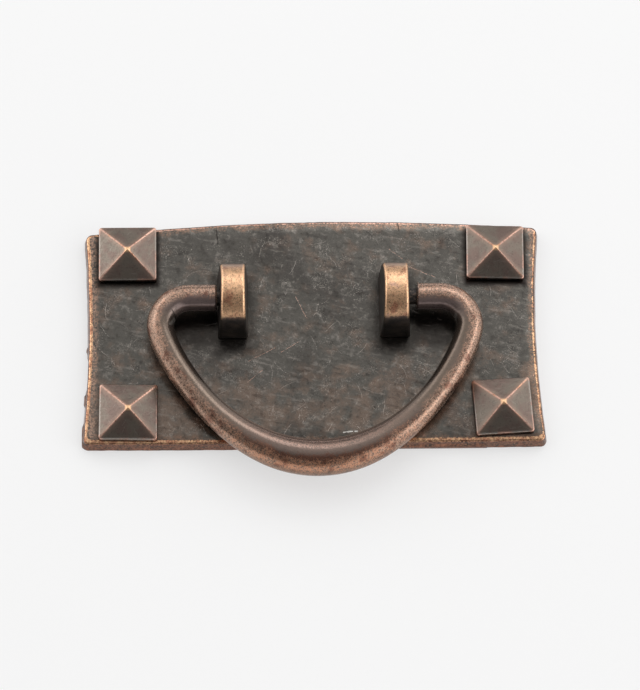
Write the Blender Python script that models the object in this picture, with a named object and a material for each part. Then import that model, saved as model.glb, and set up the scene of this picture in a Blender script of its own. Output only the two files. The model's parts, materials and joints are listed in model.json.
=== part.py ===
"""Cabinet pull: a bail handle that swings between two posts on a studded backplate.

Metres. The pull lies on its back: +X runs to the right, +Y up the drawer front and +Z out of it.
The origin is midway between the two posts, on the mounting plane.
"""

import math

import bmesh
import bpy
from mathutils import Matrix, Vector

# Fits
SEAT_GAP = 0.0003
HOLE_CLEARANCE = 0.0003
PIVOT_CLEARANCE = 0.0003
REST_CLEARANCE = 0.0003

# Backplate: outline at the mounting plane, then its section
POST_SPACING = 0.0381
PLATE_WIDTH = 0.1080
PLATE_BELOW_PIVOT = 0.0346
PLATE_ABOVE_PIVOT = 0.0202
UPPER_EDGE_SKEW = 0.0006
UPPER_EDGE_BOW = 0.0024
LOWER_EDGE_BOW = 0.0002
LEFT_HOLLOW = 0.0010
RIGHT_HOLLOW = 0.0014
LOWER_LEFT_FLARE = 0.0005
EDGE_BOW_POWER = 1.8
CORNER_RADIUS = 0.0016
PLATE_THICKNESS = 0.0032
WALL_DRAFT = 0.00045
EDGE_RADIUS = 0.00055
BORDER_WIDTH = 0.0024
BORDER_DROP = 0.00025
BACK_RIM_WIDTH = 0.0022
POCKET_DEPTH = 0.0015
POCKET_DRAFT = 0.0002
SPINE_WIDTH = 0.0130

# Pyramid studs
STUD_SIZE = 0.0136
STUD_WALL = 0.00115
STUD_RISE = 0.0028
STUD_TIP = 0.0005
STUD_CORNER_RADIUS = 0.00065
STUD_TIP_CORNER_RADIUS = 0.0002
STUD_EDGE_RADIUS = 0.0003
STUD_SIDE_MARGIN = 0.0104
STUD_UPPER_MARGIN = 0.0070
STUD_LOWER_MARGIN = 0.0083
SHANK_RADIUS = 0.0019
RIVET_RADIUS = 0.0032
RIVET_THICKNESS = 0.0009
# Side of the plate in X and Y, turn in degrees, and how far the stud was driven off its place
STUD_SEATS = {
    "stud_top_left": (-1, 1, 0.0, -0.00015, 0.00015),
    "stud_top_right": (1, 1, -1.4, -0.0003, 0.0),
    "stud_bottom_left": (-1, -1, -1.0, 0.0, -0.0004),
    "stud_bottom_right": (1, -1, 3.2, 0.0001, 0.0003),
}

# Posts
PIVOT_ABOVE_PLATE = 0.0058
EYE_RADIUS = 0.0080
POST_BASE_WIDTH = 0.0072
POST_RIM_WIDTH = 0.0055
POST_EDGE_RADIUS = 0.0007
TENON_RADIUS = 0.0028
TENON_RECESS = 0.0002
SCREW_HOLE_RADIUS = 0.00165
SCREW_HOLE_DEPTH = 0.0055

# Bail
BAR_SIDE_GAP = 0.00095
BAR_RADIUS = 0.0032
GRIP_RADIUS = 0.0044
BAIL_HALF_WIDTH = 0.0356
BAIL_DROP = 0.0394
BAIL_BEND_RADIUS = 0.0073
ARM_PULL = 0.0050
GRIP_PULL = 0.0228
BAIL_SIDE_SHIFT = 0.0004
PIN_RADIUS = 0.0019
PIN_LENGTH = 0.0050
PIN_END_FLOAT = 0.0009
BAR_END_CHAMFER = 0.0003

# Resolution of the curved forms
LONG_EDGE_STEPS = 22
SHORT_EDGE_STEPS = 12
CORNER_STEPS = 4
ROUND_STEPS = 4
STUD_RIM_STEPS = 2
EYE_STEPS = 24
HOLE_SIDES = 32
RUN_STEPS = 3
BEND_STEPS = 10
ARM_STEPS = 30
BAR_SIDES_RESOLUTION = 6

# Worked out from the sizes above
PIVOT_HEIGHT = PLATE_THICKNESS + PIVOT_ABOVE_PLATE
BAR_END = (POST_SPACING + POST_BASE_WIDTH) / 2 + BAR_SIDE_GAP
BEND_ROOM = BAIL_HALF_WIDTH - BAR_END - 2 * BAR_END_CHAMFER
BEND_RADIUS = min(BAIL_BEND_RADIUS, BEND_ROOM)
POST_SEAT = PLATE_THICKNESS + SEAT_GAP
STUD_BASE = PLATE_THICKNESS + SEAT_GAP
OVERLAP = 0.0004
CUT_MARGIN = 0.002
MERGE_DISTANCE = 0.00001

COPPER_BROWN = (0.115, 0.075, 0.055, 1.0)
COPPER_WORN = (0.42, 0.24, 0.14, 1.0)
PLATE_DARK = (0.060, 0.052, 0.045, 1.0)
STUD_BROWN = (0.105, 0.080, 0.068, 1.0)


def clear_scene():
    """Start from an empty file."""
    for old in list(bpy.data.objects):
        bpy.data.objects.remove(old, do_unlink=True)


def new_collection(name):
    collection = bpy.data.collections.new(name)
    bpy.context.scene.collection.children.link(collection)
    return collection


def metal(name, colour, roughness):
    """Return an aged metal material."""
    material = bpy.data.materials.new(name)
    material.use_nodes = True
    shader = material.node_tree.nodes["Principled BSDF"]
    shader.inputs["Base Color"].default_value = colour
    shader.inputs["Metallic"].default_value = 1.0
    shader.inputs["Roughness"].default_value = roughness
    material.diffuse_color = colour
    return material


def place(mesh, name, collection, material=None):
    """Wrap a mesh in an object inside a collection."""
    item = bpy.data.objects.new(name, mesh)
    collection.objects.link(item)
    if material is not None:
        mesh.materials.append(material)
    return item


def mesh_from(build, name):
    """Close a bmesh into a new mesh with outward normals."""
    bmesh.ops.recalc_face_normals(build, faces=build.faces)
    mesh = bpy.data.meshes.new(name)
    build.to_mesh(mesh)
    build.free()
    return mesh


def loft(sections, name):
    """Skin a stack of closed sections with equal point counts, and cap both ends."""
    build = bmesh.new()
    rings = [[build.verts.new(point) for point in section] for section in sections]
    for lower, upper in zip(rings, rings[1:]):
        for index in range(len(lower)):
            following = (index + 1) % len(lower)
            build.faces.new((lower[index], lower[following], upper[following], upper[index]))
    build.faces.new(list(reversed(rings[0])))
    build.faces.new(rings[-1])
    return mesh_from(build, name)


def cylinder(radius, start, end, name):
    """Make a round bar between two points."""
    start = Vector(start)
    end = Vector(end)
    run = end - start
    turn = run.to_track_quat("Z", "Y").to_matrix().to_4x4()
    build = bmesh.new()
    bmesh.ops.create_cone(
        build,
        cap_ends=True,
        segments=HOLE_SIDES,
        radius1=radius,
        radius2=radius,
        depth=run.length,
        matrix=Matrix.Translation((start + end) / 2) @ turn,
    )
    return mesh_from(build, name)


def boolean(target, tool, operation):
    """Add an exact Boolean that uses a hidden tool object."""
    tool.hide_render = True
    tool.display_type = "WIRE"
    modifier = target.modifiers.new(tool.name, "BOOLEAN")
    modifier.operation = operation
    modifier.object = tool
    modifier.solver = "EXACT"


def shade_round(mesh, sharp_degrees=30):
    mesh.shade_smooth()
    mesh.set_sharp_from_angle(angle=math.radians(sharp_degrees))


def bow(share, height):
    """Return how far a bowed edge stands off its chord at a share of its length."""
    return height * (1 - abs(2 * share - 1) ** EDGE_BOW_POWER)


def plate_corners(inset):
    """Return the plate's four corners, lower left first, moved in by an inset."""
    side = PLATE_WIDTH / 2 - inset
    low = -PLATE_BELOW_PIVOT + inset
    high = PLATE_ABOVE_PIVOT - inset
    return (
        Vector((-side - LOWER_LEFT_FLARE, low)),
        Vector((side, low)),
        Vector((side, high + UPPER_EDGE_SKEW)),
        Vector((-side, high - UPPER_EDGE_SKEW)),
    )


def plate_outline(inset, height):
    """Return one closed section of the plate, counterclockwise from the lower left."""
    corners = plate_corners(inset)
    radius = max(CORNER_RADIUS - inset / 2, EDGE_RADIUS)
    bows = (LOWER_EDGE_BOW, -RIGHT_HOLLOW, UPPER_EDGE_BOW, -LEFT_HOLLOW)
    steps = (LONG_EDGE_STEPS, SHORT_EDGE_STEPS, LONG_EDGE_STEPS, SHORT_EDGE_STEPS)
    points = []
    for index, corner in enumerate(corners):
        target = corners[(index + 1) % 4]
        before = (corner - corners[index - 1]).normalized()
        along = (target - corner).normalized()
        outward = Vector((along.y, -along.x))
        for step in range(CORNER_STEPS):
            turn = math.pi / 2 * step / CORNER_STEPS
            centre = corner + radius * (along - before)
            points.append(centre + radius * (math.sin(turn) * before - math.cos(turn) * along))
        length = (target - corner).length
        for step in range(steps[index]):
            reach = radius + (length - 2 * radius) * step / steps[index]
            share = (reach - radius) / (length - 2 * radius)
            points.append(corner + along * reach + outward * bow(share, bows[index]))
    return [(point.x, point.y, height) for point in points]


def plate_sections():
    """Return the plate's rings from the mounting plane up over the rolled border."""
    sections = [plate_outline(0.0, 0.0)]
    shoulder = WALL_DRAFT + EDGE_RADIUS
    border_top = PLATE_THICKNESS - BORDER_DROP
    for step in range(ROUND_STEPS + 1):
        turn = math.pi / 2 * step / ROUND_STEPS
        inset = shoulder - EDGE_RADIUS * math.cos(turn)
        height = border_top - EDGE_RADIUS * (1 - math.sin(turn))
        sections.append(plate_outline(inset, height))
    for step in range(1, ROUND_STEPS + 1):
        share = step / ROUND_STEPS
        height = border_top + BORDER_DROP * math.sin(math.pi / 2 * share)
        sections.append(plate_outline(shoulder + BORDER_WIDTH * share, height))
    return sections


def stadium(half_length, radius, height):
    """Return a slot-shaped section about the origin."""
    points = []
    for side in (1, -1):
        for step in range(HOLE_SIDES // 2 + 1):
            turn = math.pi * step / (HOLE_SIDES // 2) - math.pi / 2
            x = half_length + radius * math.cos(turn)
            points.append((side * x, side * radius * math.sin(turn), height))
    return points


def stud_centre(name):
    """Return where a stud's shank crosses the plate."""
    side_x, side_y, _, aside, up = STUD_SEATS[name]
    x = side_x * (PLATE_WIDTH / 2 - STUD_SIDE_MARGIN) + aside
    if side_y > 0:
        return x, PLATE_ABOVE_PIVOT - STUD_UPPER_MARGIN + up
    return x, -PLATE_BELOW_PIVOT + STUD_LOWER_MARGIN + up


def make_backplate(parts, cutters, material):
    """Cast plate: drafted wall, rolled border, hollow back and a spine between the posts."""
    plate = place(loft(plate_sections(), "backplate"), "backplate", parts, material)
    pocket = loft(
        [
            plate_outline(BACK_RIM_WIDTH, -CUT_MARGIN),
            plate_outline(BACK_RIM_WIDTH, 0.0),
            plate_outline(BACK_RIM_WIDTH + POCKET_DRAFT, POCKET_DEPTH),
        ],
        "pocket_cutter",
    )
    boolean(plate, place(pocket, "pocket_cutter", cutters), "DIFFERENCE")
    spine = loft(
        [
            stadium(POST_SPACING / 2, SPINE_WIDTH / 2, 0.0),
            stadium(POST_SPACING / 2, SPINE_WIDTH / 2, POCKET_DEPTH + OVERLAP),
        ],
        "spine_tool",
    )
    boolean(plate, place(spine, "spine_tool", cutters), "UNION")
    holes = [
        (f"tenon_cutter_{side}", side * POST_SPACING / 2, 0.0, TENON_RADIUS + HOLE_CLEARANCE)
        for side in (-1, 1)
    ]
    for name in STUD_SEATS:
        holes.append((f"{name}_cutter", *stud_centre(name), SHANK_RADIUS + HOLE_CLEARANCE))
    for name, x, y, radius in holes:
        top = PLATE_THICKNESS + CUT_MARGIN
        hole = place(cylinder(radius, (x, y, -CUT_MARGIN), (x, y, top), name), name, cutters)
        boolean(plate, hole, "DIFFERENCE")
    shade_round(plate.data)


def square_section(half, radius, height):
    """Return a square section with rounded corners about the origin."""
    straight = half - radius
    points = []
    for quarter in range(4):
        spin = Matrix.Rotation(math.pi / 2 * quarter, 2)
        for step in range(CORNER_STEPS + 1):
            turn = math.pi / 2 * step / CORNER_STEPS
            point = Vector((straight + radius * math.cos(turn), straight + radius * math.sin(turn)))
            points.append((*(spin @ point), height))
    return points


def stud_sections():
    """Return the head's sections from its foot over the rounded rim up the slopes to the tip."""
    half = STUD_SIZE / 2
    wall_top = STUD_BASE + STUD_WALL
    rim_turn = math.pi / 2 - math.atan2(STUD_RISE, half - STUD_TIP / 2)
    rim_start = wall_top - STUD_EDGE_RADIUS * math.tan(rim_turn / 2)
    sections = [square_section(half, STUD_CORNER_RADIUS, STUD_BASE)]
    for step in range(STUD_RIM_STEPS + 1):
        turn = rim_turn * step / STUD_RIM_STEPS
        inset = STUD_EDGE_RADIUS * (1 - math.cos(turn))
        height = rim_start + STUD_EDGE_RADIUS * math.sin(turn)
        sections.append(square_section(half - inset, STUD_CORNER_RADIUS - inset, height))
    sections.append(square_section(STUD_TIP / 2, STUD_TIP_CORNER_RADIUS, wall_top + STUD_RISE))
    return sections


def make_stud(name, parts, cutters, material):
    """Square pyramid head with a shank riveted over in the plate's hollow back."""
    stud = place(loft(stud_sections(), name), name, parts, material)
    x, y = stud_centre(name)
    stud.location = (x, y, 0)
    stud.rotation_euler = (0, 0, math.radians(STUD_SEATS[name][2]))

    rivet_top = POCKET_DEPTH - SEAT_GAP
    pieces = (
        (f"{name}_shank", SHANK_RADIUS, rivet_top - OVERLAP, STUD_BASE + OVERLAP),
        (f"{name}_rivet", RIVET_RADIUS, rivet_top - RIVET_THICKNESS, rivet_top),
    )
    for piece, radius, low, high in pieces:
        bar = place(cylinder(radius, (0, 0, low), (0, 0, high), piece), piece, cutters)
        bar.location = (x, y, 0)
        boolean(stud, bar, "UNION")


def post_half_width(height):
    """Return half the post's drafted width at a height above the mounting plane."""
    share = (height - PLATE_THICKNESS) / (PIVOT_ABOVE_PLATE + EYE_RADIUS)
    return (POST_BASE_WIDTH + (POST_RIM_WIDTH - POST_BASE_WIDTH) * share) / 2


def post_profile(inset):
    """Return the post's side view, an eye on straight legs, as Y and Z pairs."""
    radius = EYE_RADIUS - inset
    points = [(radius, POST_SEAT)]
    for step in range(EYE_STEPS + 1):
        turn = math.pi * step / EYE_STEPS
        points.append((radius * math.cos(turn), PIVOT_HEIGHT + radius * math.sin(turn)))
    points.append((-radius, POST_SEAT))
    return points


def post_sections():
    """Return the post's sections across its width, with rounded edges and drafted sides."""
    layers = []
    for step in range(ROUND_STEPS + 1):
        turn = math.pi / 2 * step / ROUND_STEPS
        layers.append((POST_EDGE_RADIUS * (1 - math.sin(turn)), POST_EDGE_RADIUS * (1 - math.cos(turn))))
    sections = []
    for side, ordered in ((-1, layers), (1, list(reversed(layers)))):
        for inset, step_in in ordered:
            section = [
                (side * (post_half_width(z) - step_in), y, z) for y, z in post_profile(inset)
            ]
            sections.append(section)
    return sections


def make_post(name, side, parts, cutters, material):
    """Drafted eye post with a blind pivot bore, a tenon and a blind screw hole behind."""
    post = place(loft(post_sections(), name), name, parts, material)
    post.location = (side * POST_SPACING / 2, 0, 0)
    pin_tip = BAR_END - PIN_LENGTH - PIN_END_FLOAT - POST_SPACING / 2
    bore_end = POST_BASE_WIDTH + CUT_MARGIN
    tools = (
        ("tenon", TENON_RADIUS, (0, 0, TENON_RECESS), (0, 0, POST_SEAT + OVERLAP), "UNION"),
        (
            "pivot_bore",
            PIN_RADIUS + PIVOT_CLEARANCE,
            (side * pin_tip, 0, PIVOT_HEIGHT),
            (side * bore_end, 0, PIVOT_HEIGHT),
            "DIFFERENCE",
        ),
        ("screw_hole", SCREW_HOLE_RADIUS, (0, 0, -CUT_MARGIN), (0, 0, SCREW_HOLE_DEPTH), "DIFFERENCE"),
    )
    for label, radius, start, end, operation in tools:
        tool_name = f"{name}_{label}"
        tool = place(cylinder(radius, start, end, tool_name), tool_name, cutters)
        tool.location = post.location
        boolean(post, tool, operation)
    shade_round(post.data)


def bezier(start, pull, aim, end, steps):
    """Return points after the start of one cubic curve."""
    points = []
    for step in range(1, steps + 1):
        t = step / steps
        s = 1 - t
        points.append(s**3 * start + 3 * s * s * t * pull + 3 * s * t * t * aim + t**3 * end)
    return points


def half_centreline():
    """Return the right half of the bail's centreline, from its bar end to the grip's middle."""
    bend_x = BAIL_HALF_WIDTH - BEND_RADIUS
    points = [Vector((BAR_END, 0, 0)), Vector((BAR_END + BAR_END_CHAMFER, 0, 0))]
    start = BAR_END + BAR_END_CHAMFER
    for step in range(1, RUN_STEPS):
        points.append(Vector((start + (bend_x - start) * step / RUN_STEPS, 0, 0)))
    for step in range(BEND_STEPS + 1):
        turn = math.pi / 2 * (1 - step / BEND_STEPS)
        x = bend_x + BEND_RADIUS * math.cos(turn)
        points.append(Vector((x, BEND_RADIUS * (math.sin(turn) - 1), 0)))
    points += bezier(
        Vector((BAIL_HALF_WIDTH, -BEND_RADIUS, 0)),
        Vector((BAIL_HALF_WIDTH, -BEND_RADIUS - ARM_PULL, 0)),
        Vector((GRIP_PULL, -BAIL_DROP, 0)),
        Vector((0, -BAIL_DROP, 0)),
        ARM_STEPS,
    )
    return points


def half_radii(points):
    """Return the bar's radius at each point: even along the arm, swelling gently to the grip."""
    travel = [0.0]
    for before, after in zip(points, points[1:]):
        travel.append(travel[-1] + (after - before).length)
    radii = []
    for distance in travel:
        share = max(distance / travel[-1] * 2 - 1, 0)
        swell = (1 - math.cos(math.pi * share)) / 2
        radii.append(BAR_RADIUS + (GRIP_RADIUS - BAR_RADIUS) * swell)
    radii[0] -= BAR_END_CHAMFER
    return radii


def rest_tilt():
    """Return how far the bail falls before its bar meets the plate's lower edge."""
    points = half_centreline()
    edge = PLATE_BELOW_PIVOT - WALL_DRAFT - EDGE_RADIUS
    tilts = []
    for point, radius in zip(points, half_radii(points)):
        reach = -point.y
        if BEND_RADIUS < reach < edge:
            tilts.append(math.asin((PIVOT_ABOVE_PLATE - radius - REST_CLEARANCE) / reach))
    return min(tilts)


def make_bail(parts, cutters, material):
    """Swinging handle: one tapered bar with a thin pivot pin at each end."""
    points = half_centreline()
    radii = half_radii(points)
    whole = points + [Vector((-point.x, point.y, 0)) for point in reversed(points[:-1])]
    radii += list(reversed(radii[:-1]))
    path = bpy.data.curves.new("bail_path", "CURVE")
    path.dimensions = "3D"
    path.bevel_depth = 1.0
    path.bevel_resolution = BAR_SIDES_RESOLUTION
    path.use_fill_caps = True
    spline = path.splines.new("POLY")
    spline.points.add(len(whole) - 1)
    for target, point, radius in zip(spline.points, whole, radii):
        target.co = (*point, 1.0)
        target.radius = radius
    guide = place_curve(path, "bail_guide", cutters)
    bpy.context.view_layer.update()
    evaluated = guide.evaluated_get(bpy.context.evaluated_depsgraph_get())
    mesh = bpy.data.meshes.new_from_object(evaluated)
    bpy.data.objects.remove(guide, do_unlink=True)

    build = bmesh.new()
    build.from_mesh(mesh)
    bmesh.ops.remove_doubles(build, verts=build.verts, dist=MERGE_DISTANCE)
    bmesh.ops.recalc_face_normals(build, faces=build.faces)
    build.to_mesh(mesh)
    build.free()
    mesh.name = "bail"
    mesh.materials.clear()

    pivot = bpy.data.objects.new("bail_pivot", None)
    parts.objects.link(pivot)
    pivot.location = (BAIL_SIDE_SHIFT, 0, PIVOT_HEIGHT)
    pivot.rotation_euler = (rest_tilt(), 0, 0)

    bail = place(mesh, "bail", parts, material)
    bail.parent = pivot
    for side, label in ((-1, "left_pin"), (1, "right_pin")):
        tip = (side * (BAR_END - PIN_LENGTH), 0, 0)
        root = (side * (BAR_END + BAR_RADIUS), 0, 0)
        pin = place(cylinder(PIN_RADIUS, tip, root, label), label, cutters)
        pin.parent = pivot
        boolean(bail, pin, "UNION")
    shade_round(mesh)


def place_curve(path, name, collection):
    item = bpy.data.objects.new(name, path)
    collection.objects.link(item)
    return item


def main():
    clear_scene()
    parts = new_collection("cabinet_pull")
    cutters = new_collection("cutters")
    plate_metal = metal("plate_dark_copper", PLATE_DARK, 0.45)
    post_metal = metal("post_worn_copper", COPPER_WORN, 0.35)
    bail_metal = metal("bail_brown_copper", COPPER_BROWN, 0.38)
    stud_metal = metal("stud_brown_copper", STUD_BROWN, 0.4)
    make_backplate(parts, cutters, plate_metal)
    make_post("left_post", -1, parts, cutters, post_metal)
    make_post("right_post", 1, parts, cutters, post_metal)
    make_bail(parts, cutters, bail_metal)
    for name in STUD_SEATS:
        make_stud(name, parts, cutters, stud_metal)


main()
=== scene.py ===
"""Cabinet pull: a copper bail pull on a studded backplate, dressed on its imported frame.

Metres. The pull lies on its back: +X runs along the pivot line, +Y up the drawer front, +Z out of it.
"""

import json
import math

import bmesh
import bpy
from mathutils import Matrix, Vector, noise


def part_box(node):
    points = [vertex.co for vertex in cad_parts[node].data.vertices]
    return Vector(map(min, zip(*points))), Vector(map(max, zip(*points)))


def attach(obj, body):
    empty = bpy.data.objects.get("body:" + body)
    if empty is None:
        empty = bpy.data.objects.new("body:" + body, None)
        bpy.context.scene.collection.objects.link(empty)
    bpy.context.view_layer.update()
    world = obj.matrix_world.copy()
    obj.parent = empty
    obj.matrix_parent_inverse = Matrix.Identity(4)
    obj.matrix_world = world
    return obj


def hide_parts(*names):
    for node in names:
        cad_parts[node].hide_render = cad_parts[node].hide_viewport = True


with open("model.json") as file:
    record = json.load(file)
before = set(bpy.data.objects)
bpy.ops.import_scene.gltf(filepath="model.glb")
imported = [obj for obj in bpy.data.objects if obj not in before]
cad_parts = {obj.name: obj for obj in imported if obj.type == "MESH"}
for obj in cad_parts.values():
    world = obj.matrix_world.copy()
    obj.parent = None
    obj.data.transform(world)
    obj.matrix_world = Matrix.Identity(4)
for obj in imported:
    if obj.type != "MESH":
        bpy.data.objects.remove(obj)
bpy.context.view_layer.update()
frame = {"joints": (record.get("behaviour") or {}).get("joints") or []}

bl_info = {
    "name": "Studded bail pull",
    "version": (1, 0, 0),
    "blender": (4, 5, 0),
    "location": "3D View > Sidebar > Pull",
    "description": "Builds an aged copper bail pull with pyramid studs on a bowed backplate",
    "category": "Object",
}

# Places taken from the frame
PLATE_LOW, PLATE_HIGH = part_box("backplate")
PIVOT = Vector(frame["joints"][0]["pos_m"])
POST_NODES = ("left_post", "right_post")
STUD_NODES = ("stud_top_left", "stud_top_right", "stud_bottom_left", "stud_bottom_right")
STUD_TURNS = (0.0, -1.4, -1.0, 3.2)

# Fits between the pieces
SEAT_GAP = 0.0003
HOLE_CLEARANCE = 0.0003
PIVOT_CLEARANCE = 0.0003
REST_CLEARANCE = 0.0003
OVERLAP = 0.0004
CUT_MARGIN = 0.002
MERGE_DISTANCE = 0.00001
SEAM_SPREAD = 0.06

# Resolution of the curved forms
LONG_EDGE_STEPS = 240
SHORT_EDGE_STEPS = 130
CORNER_STEPS = 10
WALL_STEPS = 8
ROUND_STEPS = 8
BORDER_STEPS = 10
EYE_STEPS = 96
RIM_STEPS = 10
HOLE_SIDES = 64
STUD_SIDE_STEPS = 14
STUD_SLOPE_STEPS = 16
RUN_STEPS = 8
BEND_STEPS = 24
ARM_STEPS = 60

# The photograph's frame and the camera that was fitted to it
FRAME_LONG_SIDE = 690
FOCAL_PIXELS = 3702.9
SENSOR_WIDTH = 36.0
CAMERA_AZIMUTH = -5.0
CAMERA_ELEVATION = 67.57
CAMERA_ROLL = -4.17
CAMERA_DISTANCE = 0.8763
CAMERA_ASIDE = 0.001637
CAMERA_BELOW = -0.007809


def length(name, description, default):
    """Return a property that holds a length in metres."""
    return bpy.props.FloatProperty(
        name=name, description=description, default=default, precision=5, subtype="DISTANCE", unit="LENGTH"
    )


def share(name, description, default):
    """Return a property that holds a share between none and all."""
    return bpy.props.FloatProperty(
        name=name, description=description, default=default, min=0.0, max=1.0, subtype="FACTOR"
    )


def strength(name, description, default, **kind):
    """Return a property that holds a strength of light."""
    return bpy.props.FloatProperty(name=name, description=description, default=default, min=0.0, **kind)


def colour(name, description, red, green, blue):
    """Return a colour property from the screen values that a paint chart gives, 0 to 255."""
    return bpy.props.FloatVectorProperty(
        name=name,
        description=description,
        default=[to_linear(value / 255) for value in (red, green, blue)],
        size=3,
        min=0.0,
        max=1.0,
        subtype="COLOR",
    )


def to_linear(value):
    """Return the linear strength of one screen value between 0 and 1."""
    if value <= 0.04045:
        return value / 12.92
    return ((value + 0.055) / 1.055) ** 2.4


class BackplateSizes(bpy.types.PropertyGroup):
    """Sizes of the backplate."""

    below_pivot: length("Below pivot", "From the pivot line down to the lower edge", 0.0346)
    above_pivot: length("Above pivot", "From the pivot line up to the upper corners", 0.0202)
    upper_skew: length("Upper skew", "How far the upper edge's right end stands above its middle", 0.0006)
    upper_bow: length("Upper bow", "How far the upper edge bows out", 0.0024)
    lower_bow: length("Lower bow", "How far the lower edge bows out", 0.0002)
    left_hollow: length("Left hollow", "How far the left side curves in", 0.0010)
    right_hollow: length("Right hollow", "How far the right side curves in", 0.0014)
    left_flare: length("Left flare", "How far the lower left corner flares out", 0.0005)
    corner_radius: length("Corner radius", "Radius of the plate's corners", 0.0016)
    wall_draft: length("Wall draft", "How far the side wall leans in", 0.00045)
    edge_radius: length("Edge radius", "Radius of the worn upper edge", 0.00055)
    border_width: length("Border width", "Width of the rolled border", 0.0024)
    border_drop: length("Border drop", "How far the border falls below the field", 0.00025)
    back_rim: length("Back rim", "Width of the rim round the hollow back", 0.0022)
    pocket_depth: length("Pocket depth", "Depth of the hollow back", 0.0015)
    pocket_draft: length("Pocket draft", "How far the hollow's wall leans in", 0.0002)
    spine_width: length("Spine width", "Width of the spine between the posts", 0.0130)
    wander: length("Edge wander", "How far the forged edge wanders to each side", 0.00012)


class PostSizes(bpy.types.PropertyGroup):
    """Sizes of the two eye posts."""

    eye_radius: length("Eye radius", "Outer radius of the eye", 0.0080)
    base_width: length("Base width", "Width where the post meets the plate", 0.0072)
    rim_width: length("Rim width", "Width at the top of the eye", 0.0055)
    edge_radius: length("Edge radius", "Radius of the rim's edges", 0.0007)
    tenon_radius: length("Tenon radius", "Radius of the tenon through the plate", 0.0028)
    tenon_recess: length("Tenon recess", "How far the tenon stays behind the back face", 0.0002)
    screw_radius: length("Screw hole radius", "Radius of the blind screw hole", 0.00165)
    screw_depth: length("Screw hole depth", "Depth of the blind screw hole", 0.0055)
    wander: length("Rim wander", "How far the filed rim wanders", 0.00006)


class BailSizes(bpy.types.PropertyGroup):
    """Sizes of the swinging bail."""

    bar_end: length("Bar end", "From the middle to the end of the bar", 0.0236)
    bar_radius: length("Bar radius", "Radius of the bar along the arms", 0.0032)
    grip_radius: length("Grip radius", "Radius in the middle of the grip", 0.0044)
    half_width: length("Half width", "From the middle to the widest centreline", 0.03590)
    drop: length("Drop", "From the pivot line to the grip's centreline", 0.0394)
    bend_radius: length("Bend radius", "Centreline radius of the upper bends", 0.0070)
    arm_pull: length("Arm pull", "How far the arm runs straight below its bend", 0.0053)
    grip_pull: length("Grip pull", "How flat the grip runs out to each side", 0.0228)
    left_reach: length("Left reach", "How much further the left bar end reaches towards its post", 0.0004)
    left_spread: share("Left spread", "How much further out the left bend stands, as a share", 0.018)
    side_shift: length("Side shift", "How far the bail sits to the right", 0.0004)
    pin_radius: length("Pin radius", "Radius of the pivot pins", 0.0019)
    pin_length: length("Pin length", "How far the pins reach past the bar", 0.0050)
    end_float: length("End float", "Room past the pins' tips", 0.0009)
    end_chamfer: length("End chamfer", "Chamfer at the bar's ends", 0.0003)
    seam_height: length("Seam height", "How far the casting seam stands out", 0.00008)
    dents: length("Dents", "Depth of the shallow dents of tumbling", 0.00005)


class StudSizes(bpy.types.PropertyGroup):
    """Sizes of the pyramid studs."""

    size: length("Size", "Width of the square head", 0.0136)
    wall: length("Wall", "Height of the head's side wall", 0.00115)
    rise: length("Rise", "Height of the pyramid above its wall", 0.0028)
    tip: length("Tip", "Width of the blunt tip", 0.0005)
    corner: length("Corner", "Radius of the head's corners seen from above", 0.00065)
    rounding: length("Rounding", "Radius of the head's upper rim", 0.00030)
    shank_radius: length("Shank radius", "Radius of the shank", 0.0019)
    rivet_radius: length("Rivet radius", "Radius of the riveted tail", 0.0032)
    rivet_thickness: length("Rivet thickness", "Thickness of the riveted tail", 0.0009)


class CopperColours(bpy.types.PropertyGroup):
    """Colours of the aged copper, from bare metal to black patina."""

    gold: colour("Rubbed gold", "Copper rubbed bright", 246, 198, 156)
    blush: colour("Blush copper", "Pinkish bare copper on sharp edges", 212, 170, 152)
    copper: colour("Bare copper", "Copper where the patina has worn off", 202, 146, 116)
    rose: colour("Rose copper", "Half worn copper with a pink cast", 182, 152, 134)
    brown: colour("Brown patina", "Brown skin of the bail", 142, 116, 100)
    russet: colour("Russet patina", "Red-brown patches", 118, 78, 64)
    slate: colour("Slate patina", "Grey skin of the studs", 130, 120, 110)
    mauve: colour("Mauve patina", "Pinkish grey skin of the studs", 126, 109, 101)
    pewter: colour("Pewter patina", "Smooth grey skin inside the bail", 115, 101, 90)
    heather: colour("Heather patina", "Grey skin with a lilac cast at the bar ends", 140, 122, 118)
    olive: colour("Olive patina", "Grey skin of the plate", 94, 91, 86)
    umber: colour("Umber patina", "Brown skin of the plate", 120, 104, 93)
    # Soot is also laid as painted shade on the bail's inner side
    soot: colour("Soot", "Dark smudges on the plate and under the bail", 60, 56, 54)
    # Black also stands for painted shade: round the posts and studs, under the bail's bends, on the bail's
    # underside and crease, and on the studs' walls
    black: colour("Black patina", "Dirt and oxide in the recesses", 32, 27, 25)
    scratch: colour("Scratch", "Fine pale scratches", 176, 168, 160)
    # bare also paints the pale streak on the field inside the grip and the bar end's cut face
    bare: colour("Bare metal", "Metal struck bare by the bail", 226, 222, 216)


class StudioLight(bpy.types.PropertyGroup):
    """Strengths of the studio lamps and the paper floor's colour."""

    key: strength("Key", "Soft lamp behind and above", 0.60, unit="POWER")
    left: strength("Left", "Soft lamp on the left, a little behind", 0.52, unit="POWER")
    right: strength("Right", "Low soft lamp on the right", 0.60, unit="POWER")
    horizon: strength("Horizon", "Brightness of the room near the floor", 1.15, subtype="FACTOR")
    behind: strength("Behind", "Brightness low down straight behind the pull", 0.20, subtype="FACTOR")
    overhead: strength("Overhead", "Brightness high up behind", 0.86, subtype="FACTOR")
    front: strength("Front", "Brightness high up in front", 0.18, subtype="FACTOR")
    paper_glow: share("Paper glow", "How much of the floor's white is its own", 0.56)
    paper: colour("Paper", "Colour of the floor", 254, 254, 254)


# Node trees

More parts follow.
